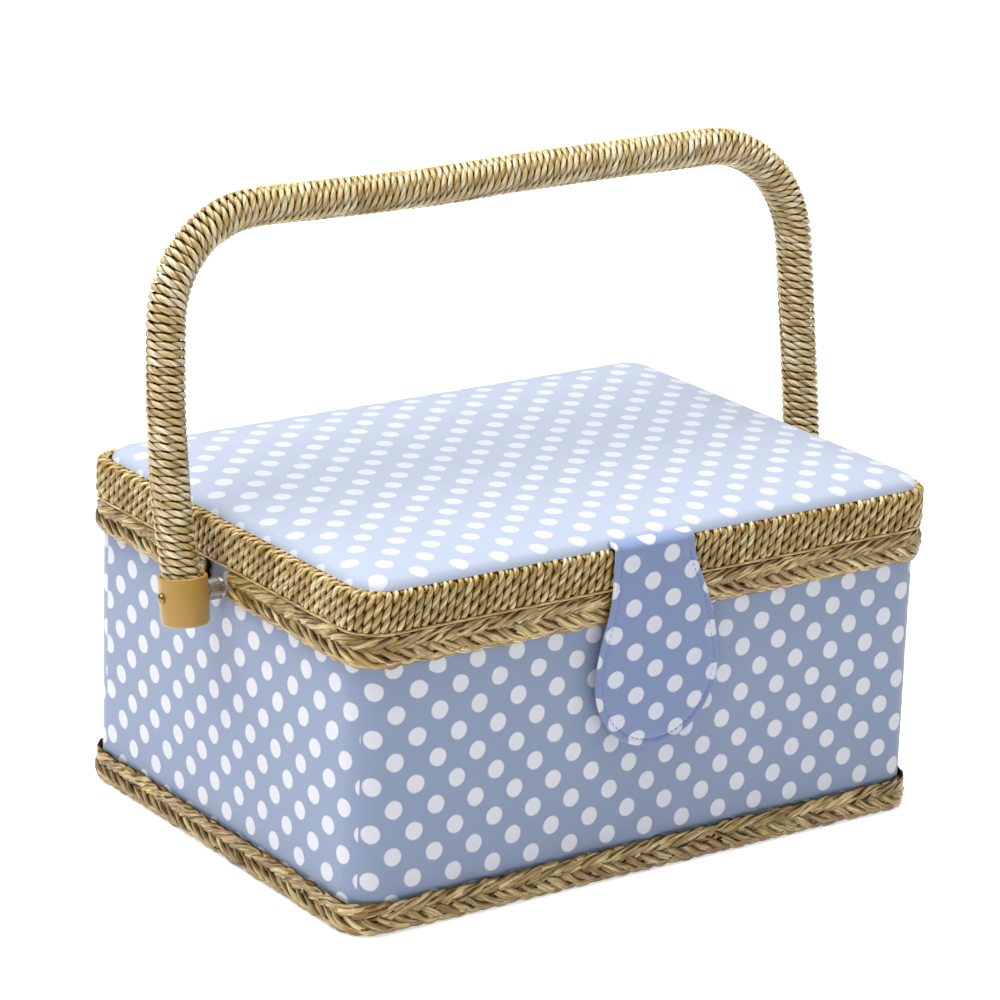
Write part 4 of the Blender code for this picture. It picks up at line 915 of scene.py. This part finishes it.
def makeFlap(clothFinish, threadFinish):
    # Two cloths over a stiffener, sewn 3 mm in from the edge. The top folds over the rim and
    # is sewn down beside the cushion.
    print("flap")
    rows, columns = 72, 44
    foot, topZ = flap["bulbZ"] - flap["bulb"], flap["hingeZ"] + 0.5 * mm
    heights = [foot + (topZ - foot) * (1 - math.cos(math.pi / 2 * k / rows)) for k in range(rows + 1)]
    parts = [-1 + 2 * k / columns for k in range(columns + 1)]
    # how far the fold over the rim has gone back and up, in mm
    fold = ((1.1, 0.85), (2.6, 1.5), (4.6, 2.0), (6.6, 1.9), (8.0, 1.2))
    points, places = [], []
    for side in (1, -1):
        for height in heights:
            half, centre = max(flapHalfWidth(height), 0.4 * mm), flapCentre(height)
            for part in parts:
                x = (math.sin(part * math.pi / 2) + part) / 2 * half
                points.append((centre + x, -flapFace(x, height, side), height))
                places.append((centre + x, height))
        top = points[-len(parts):]
        for back, up in fold:
            # the back cloth takes the short way round the bend
            if side > 0:
                behind, above = back * mm, (up + 0.9 * min(1, back / 2)) * mm
            else:
                behind, above = min(back, 7.0) * 0.62 * mm, (up * 0.35 - 0.5 * min(1, back / 3)) * mm
            points += [(x, y + behind, topZ + above) for x, y, z in top]
            places += [(x, topZ + back * mm) for x, y, z in top]
    faces = slabFaces(columns, rows + len(fold))
    turnX, turnZ = math.cos(flap["dotTurn"]), math.sin(flap["dotTurn"])
    uv = []
    for x, z in [places[corner] for face in faces for corner in face]:
        # this piece was stretched a little across and shrunk along
        x, z = x - flap["dotX"], z - flap["dotZ"]
        uv.append(((x * turnX + z * turnZ) * flap["acrossStretch"],
                   (z * turnX - x * turnZ) * flap["alongStretch"]))
    piece = meshPiece("flapCloth", points, faces, uv)
    subdivide(piece)
    finishPiece(piece, None, "dotted_cloth", clothFinish, "flap_front_cloth", "flap_back_cloth",
                "flap_stiffener", "flap_magnet", "flap_anchor")
    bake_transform(piece)

    # the seam: one row of stitches inside the edge, up one side, round the foot and up the other
    count, top, radius = 40, flap["seamTop"], flap["bulb"] - flap["hem"]
    heights = [top - (top - flap["bulbZ"]) * k / count for k in range(count)]
    line = [(flap["hem"] - flapHalfWidth(height), height) for height in heights]
    angles = [math.pi + math.pi * k / count for k in range(count + 1)]
    line += [(radius * math.cos(angle), flap["bulbZ"] + radius * math.sin(angle)) for angle in angles]
    line = np.array(line + [(-x, height) for x, height in line[:count][::-1]])
    distance = runLength(line)
    around = fullTurn * np.arange(6)[None] / 6
    rings, along = [], []
    for k in range(int(distance[-1] / flap["stitch"])):
        path = []
        for step in range(5):
            at = (k + 0.14 + 0.72 * step / 4) * flap["stitch"]
            x, height = [np.interp(at, distance, line[:, axis]) for axis in (0, 1)]
            dip = 0.32 * mm * abs(step / 2 - 1) ** 3 - 0.12 * mm
            path.append((flapCentre(height) + x, -flapFace(x, height, 1) + dip, height))
        path = np.array(path)
        ahead = unit(np.gradient(path, axis=0))
        side = np.cross(ahead, (0, -1, 0))
        rings.append(ringsAbout(path, flap["threadRadius"] * np.cos(around), side,
                                flap["threadRadius"] * np.sin(around), np.cross(side, ahead)))
        along.append(np.linspace(0, flap["stitch"], 5) + k * 0.01)
    seam = tubes("flapStitching", rings, along)
    finishPiece(seam, "flap", "dotted_cloth", threadFinish)


# hard pieces

cap = {"radius": 10.8 * mm, "low": -13 * mm, "high": 8.6 * mm, "bore": 9.2 * mm, "boreFloor": 5 * mm,
       "lip": 0.5 * mm, "round": 0.45 * mm}


def makeCaps(finish):
    print("end caps")
    tiltAxis = (0, math.sin(handle["tilt"]), math.cos(handle["tilt"]))
    radius, low, high, bore, lip = cap["radius"], cap["low"], cap["high"], cap["bore"], cap["lip"]
    profile = [(radius - 1.2 * mm, low), (radius - 0.25 * mm, low + 1.1 * mm),
               (radius - 0.1 * mm, low + 4 * mm), (radius + 0.1 * mm, high - lip),
               (radius - 0.3 * mm, high), (bore + lip, high), (bore, high - lip), (bore, cap["boreFloor"])]
    for name, side, node in (("capLeft", -1, "cap_left"), ("capRight", 1, "cap_right")):
        piece = turnedPiece(name, profile)
        smoothEdges(piece, cap["round"])
        settle(piece, (side * handle["halfSpan"], 0, handle["pivotHeight"]), tiltAxis)
        finishPiece(piece, "handle", "cap_plastic", finish, node)


rivet = {"shank": 1.6 * mm, "head": 2.4 * mm, "innerHead": 3.5 * mm, "innerThick": 1.2 * mm,
         "dome": 1.5 * mm, "spacer": 4.7 * mm, "spacerBore": 1.9 * mm}


def makeRivets(brassFinish, clearFinish):
    print("rivets and spacers")
    innerFace, capFace = [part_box("rivet_right")[end][0] for end in (0, 1)]
    spacerLow, spacerHigh = [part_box("spacer_right")[end][0] for end in (0, 1)]
    length, width = capFace - rivet["dome"] - innerFace, spacerHigh - spacerLow
    inner, thick, shank, head = rivet["innerHead"], rivet["innerThick"], rivet["shank"], rivet["head"]
    profile = [(inner * 0.6, 0), (inner, 0.5 * mm), (inner, thick), (shank, thick), (shank, length),
               (head, length)]
    # the outer head's dome, as shares of its radius and mm of height
    dome = ((1, 0.35), (0.83, 0.35), (0.78, 0.8), (0.62, 1.2), (0.38, 1.45), (0.12, 1.55))
    profile += [(head * share, length + rise * mm) for share, rise in dome]
    tube = [(rivet["spacer"], 0), (rivet["spacer"], width), (rivet["spacerBore"], width),
            (rivet["spacerBore"], 0.4 * mm)]
    for end, side in (("Left", -1), ("Right", 1)):
        away, node = (side, 0, 0), end.lower()
        piece = turnedPiece("rivet" + end, profile, sides=40)
        smoothEdges(piece, 0.06 * mm, segments=2)
        settle(piece, (side * innerFace, 0, handle["pivotHeight"]), away)
        finishPiece(piece, "rivets", "brass", brassFinish, "rivet_" + node)
        piece = turnedPiece("spacer" + end, tube)
        smoothEdges(piece, 0.5 * mm)
        settle(piece, (side * spacerLow, 0, handle["pivotHeight"]), away)
        finishPiece(piece, "rivets", "clear_plastic", clearFinish, "spacer_" + node)


hinge = {"spacing": 95 * mm, "y": 115.5 * mm, "z": 135.55 * mm, "radius": 2.3 * mm, "steps": 48,
         "sides": 12, "halfWidth": 0.9 * mm, "halfThick": 0.9 * mm, "back": 0.9 * mm, "waist": 0.66,
         "plyPitch": fullTurn * 2.3 * mm / 4}


def makeHingeCords(finish):
    # cord laced through the rim and the plait, a closed loop at each side of the back
    print("hinge cords")
    for end, side in (("Left", -1), ("Right", 1)):
        middle = np.array([side * hinge["spacing"], hinge["y"], hinge["z"]])
        angles = [fullTurn * k / hinge["steps"] for k in range(hinge["steps"] + 1)]
        radials = np.array([(0, math.cos(angle), math.sin(angle)) for angle in angles])
        rings, along, paintedShade = twoPly(middle + radials * hinge["radius"], radials, hinge, 0.0)
        cord = tubes("hingeCord" + end, rings[None, :-1], along[None, :-1], paintedShade=paintedShade[None, :-1],
                     loop=True)
        finishPiece(cord, "lid", "paper_cord", finish, "hinge_cord_" + end.lower())


def softSlab(name, node, faceHeights, corner, cell):
    # a closed pad that fills a node's box; faceHeights(x, y, depth) gives the heights of its faces
    low, high = np.array(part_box(node))
    centre, half = (low + high) / 2, (high - low) / 2
    spots, countX, countY = padGrid({"halfX": half[0], "halfY": half[1], "corner": corner}, cell)
    heights = [faceHeights(*spot) for spot in spots]
    points = [(centre[0] + spot[0], centre[1] + spot[1], pair[layer])
              for layer in range(2) for spot, pair in zip(spots, heights)]
    faces = slabFaces(countX, countY)
    return meshPiece(name, points, faces, [points[k][:2] for face in faces for k in face])


lined = {"halfX": 147.2 * mm, "halfY": 107.7 * mm, "corner": 9.7 * mm, "thick": 1.3 * mm}


def makeLinings(lining):
    print("linings")
    low, high = [end[2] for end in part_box("wall_lining")]

    def slack(base, height, rowsIn):
        return -0.1 * mm + 0.1 * mm * waver(base[0] * 30, base[1] * 30, height * 25)

    stops = outlineStops(lined, cell=9 * mm, turns=8)
    points, faces = standingBand(stops, np.linspace(low, high, 22), lined, lined["thick"], slack)[:2]
    piece = meshPiece("wallLining", points, faces)
    finishPiece(piece, "basket", "lining_cloth", lining, "wall_lining")

    padLow, padHigh = [end[2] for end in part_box("floor_pad")]

    def floorFaces(x, y, depth):
        # flat below; above it is held down under the wall lining and swells inside it
        swell = 1.1 * mm * roundedEdge(depth - 2.5 * mm, 14 * mm) if depth > 2.5 * mm else 0
        ripple = 0.12 * mm * waver(x * 22, y * 22, 3.0)
        return padLow, padHigh + swell + ripple * min(1, depth / (8 * mm))

    piece = softSlab("floorPad", "floor_pad", floorFaces, corner=9.8 * mm, cell=9 * mm)
    finishPiece(piece, "basket", "lining_cloth", lining, "floor_pad")

    faceLow, faceHigh = [end[2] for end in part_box("lid_lining")]

    def lidFaces(x, y, depth):
        full = roundedEdge(depth, 1.5 * mm)
        ripple = 0.15 * mm * (waver(x * 20, y * 20, 8.0) - 1) * full
        return faceHigh, faceHigh - (faceHigh - faceLow) * (0.35 + 0.65 * full) + ripple

    piece = softSlab("lidLining", "lid_lining", lidFaces, corner=10.9 * mm, cell=9 * mm)
    finishPiece(piece, "lid", "lining_cloth", lining, "lid_lining")

    # covered boards that carry the tray: their cloth is drawn tight, so their edges are round
    for node in ("front_ledge", "back_ledge", "left_ledge", "right_ledge"):
        low, high = [np.array(end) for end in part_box(node)]
        deselectAll()
        bpy.ops.mesh.primitive_cube_add(size=1, location=tuple((low + high) / 2))
        piece = bpy.context.object
        piece.name = piece.data.name = node.split("_")[0] + "Ledge"
        bpy.ops.transform.resize(value=tuple(high - low))
        bpy.ops.object.transform_apply(location=True, rotation=True, scale=True)
        smoothEdges(piece, 0.9 * mm, segments=4)
        finishPiece(piece, "basket", "lining_cloth", lining, node)


def makeLidFittings(dotted, lining, elastic):
    print("pincushion and lid pocket")
    low, high = [end[2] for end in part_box("pincushion")]

    def cushionFaces(x, y, depth):
        # full, with a button-stitched dimple in the middle and pleats that run out from it
        away = math.hypot(x, y)
        pleats = 0.05 * math.cos(6 * math.atan2(y, x)) * math.exp(-away / (14 * mm))
        dimple = 0.3 * math.exp(-(away / (5 * mm)) ** 2) * (1 + pleats)
        full = roundedEdge(depth, 11 * mm)
        return high, high - (high - low) * (0.12 + full * (0.93 - dimple + pleats))

    piece = softSlab("pincushion", "pincushion", cushionFaces, corner=11 * mm, cell=3 * mm)
    finishPiece(piece, "lid", "dotted_cloth", dotted, "pincushion")

    pocketLow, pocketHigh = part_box("lid_pocket")
    wide, tall = [pocketHigh[axis] - pocketLow[axis] for axis in (0, 1)]

    def pocketFaces(x, y, depth):
        # gathered behind the elastic along its front edge, slack towards the back
        inward = y + tall / 2 - 7 * mm
        fold = math.sin(fullTurn * x / (8.5 * mm) + 1.1 * waver(x * 40, y * 30, 1.0))
        drop = ease(inward / (4 * mm)) * (1.1 * mm + 0.5 * mm * fold * math.exp(-inward / (16 * mm)))
        drop *= min(1, depth / (4 * mm))
        return pocketHigh[2] - drop, pocketLow[2] - drop

    piece = softSlab("lidPocket", "lid_pocket", pocketFaces, corner=6 * mm, cell=2.4 * mm)
    finishPiece(piece, "lid", "lining_cloth", lining, "lid_pocket")

    bandLow, bandHigh = [end[2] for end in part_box("pocket_elastic")]

    def elasticFaces(x, y, depth):
        rib = 0.14 * mm * math.sin(fullTurn * x / (3.0 * mm))
        return bandHigh, bandLow - 0.1 * mm + rib * min(1, depth / mm)

    piece = softSlab("pocketElastic", "pocket_elastic", elasticFaces, corner=0.5 * mm, cell=0.9 * mm)
    finishPiece(piece, "lid", "elastic", elastic, "pocket_elastic")


def dressNodes(made):
    # CAD nodes whose shape is right keep it and get a finish
    looks = {"board": ("front_wall", "back_wall", "left_wall", "right_wall", "base_board", "lid_frame",
                       "lid_board", "handle_core"),
             "card": ("base_cover",), "tray": ("sewing_tray",),
             "steel": ("catch_magnet", "washer_left", "washer_right")}
    for look, names in looks.items():
        for name in names:
            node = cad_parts[name]
            for slot in node.material_slots:
                slot.material = made[look]


# floor, light and camera

def eitherRay(tree, first, second):
    rays = add(tree, "LightPath").outputs
    return add(tree, "Math", {0: rays[first], 1: rays[second]}, operation="MAXIMUM")


def makeStudio():
    print("studio")
    deselectAll()
    bpy.ops.mesh.primitive_plane_add(size=9, location=(0, 2.5, -0.3 * mm))
    floor = bpy.context.object
    floor.name = "studioFloor"
    material = bpy.data.materials.new("paleSeamlessPaper")
    material.use_nodes = True
    tree = material.node_tree
    tree.nodes.clear()
    paper = add(tree, "BsdfDiffuse", {"Color": linear("#F2F2F2")})
    glow = add(tree, "Emission", {"Color": (1, 1, 1, 1), "Strength": 0.62})
    lit = add(tree, "AddShader", {0: paper, 1: glow})
    shown = eitherRay(tree, "Is Camera Ray", "Is Glossy Ray")
    both = add(tree, "MixShader", {0: shown, 1: paper, 2: lit})
    add(tree, "OutputMaterial", {"Surface": both})
    floor.data.materials.append(material)

    world = bpy.data.worlds.new("softStudio")
    bpy.context.scene.world = world
    world.use_nodes = True
    tree = world.node_tree
    tree.nodes.clear()
    plain = add(tree, "Background", {"Color": linear("#EEF0F4"), "Strength": 0.26})
    white = add(tree, "Background", {"Color": (1, 1, 1, 1), "Strength": 1.0})
    shown = eitherRay(tree, "Is Camera Ray", "Is Transmission Ray")
    both = add(tree, "MixShader", {0: shown, 1: plain, 2: white})
    add(tree, "OutputWorld", {"Surface": both})

    lamps = (("keyLamp", (-0.3, 0.2, 1.8), 1.6, 59.0), ("leftLamp", (-1.7, -0.35, 0.95), 0.9, 3.2),
             ("frontLamp", (1.4, -1.15, 1.0), 0.8, 4.0))
    for name, place, size, power in lamps:
        lamp = bpy.data.lights.new(name, "AREA")
        lamp.size = size
        lamp.energy = power
        holder = bpy.data.objects.new(name, lamp)
        holder.location = place
        holder.rotation_euler = (Vector((0, 0, 0.12)) - Vector(place)).to_track_quat("-Z", "Y").to_euler()
        bpy.context.scene.collection.objects.link(holder)
    bpy.context.scene.view_settings.view_transform = "Standard"


view = {"place": Vector((-1072.98, -1496.14, 736.0)) * mm, "target": Vector((0.20, 7.49, 137.04)) * mm,
        "roll": math.radians(1.995), "lens": 154.43, "sensor": 36.0}


def makeCamera():
    camera = bpy.data.cameras.new("camera")
    camera.lens, camera.sensor_width = view["lens"], view["sensor"]
    holder = bpy.data.objects.new("camera", camera)
    bpy.context.scene.collection.objects.link(holder)
    ahead = (view["target"] - view["place"]).normalized()
    right = ahead.cross(Vector((0, 0, 1))).normalized()
    up = right.cross(ahead)
    turnedRight = right * math.cos(view["roll"]) + up * math.sin(view["roll"])
    turnedUp = up * math.cos(view["roll"]) - right * math.sin(view["roll"])
    columns = Matrix((turnedRight, turnedUp, -ahead)).transposed().to_4x4()
    holder.matrix_world = Matrix.Translation(view["place"]) @ columns
    bpy.context.scene.camera = holder


made = makeFinishes()
makeHandleWinding(made["handleCord"])
makeRimWinding(made["paperCord"])
makeRimWelt(made["paperCord"])
makePlaits(made["straw"])
makeBoxCloth(made["poplin"])
makeLidCushion(made["paleDotted"])
makeFlap(made["deepDotted"], made["thread"])
makeCaps(made["capPlastic"])
makeRivets(made["brass"], made["clear"])
makeHingeCords(made["paperCord"])
makeLinings(made["lining"])
makeLidFittings(made["poplin"], made["lining"], made["elastic"])
dressNodes(made)
makeStudio()
makeCamera()
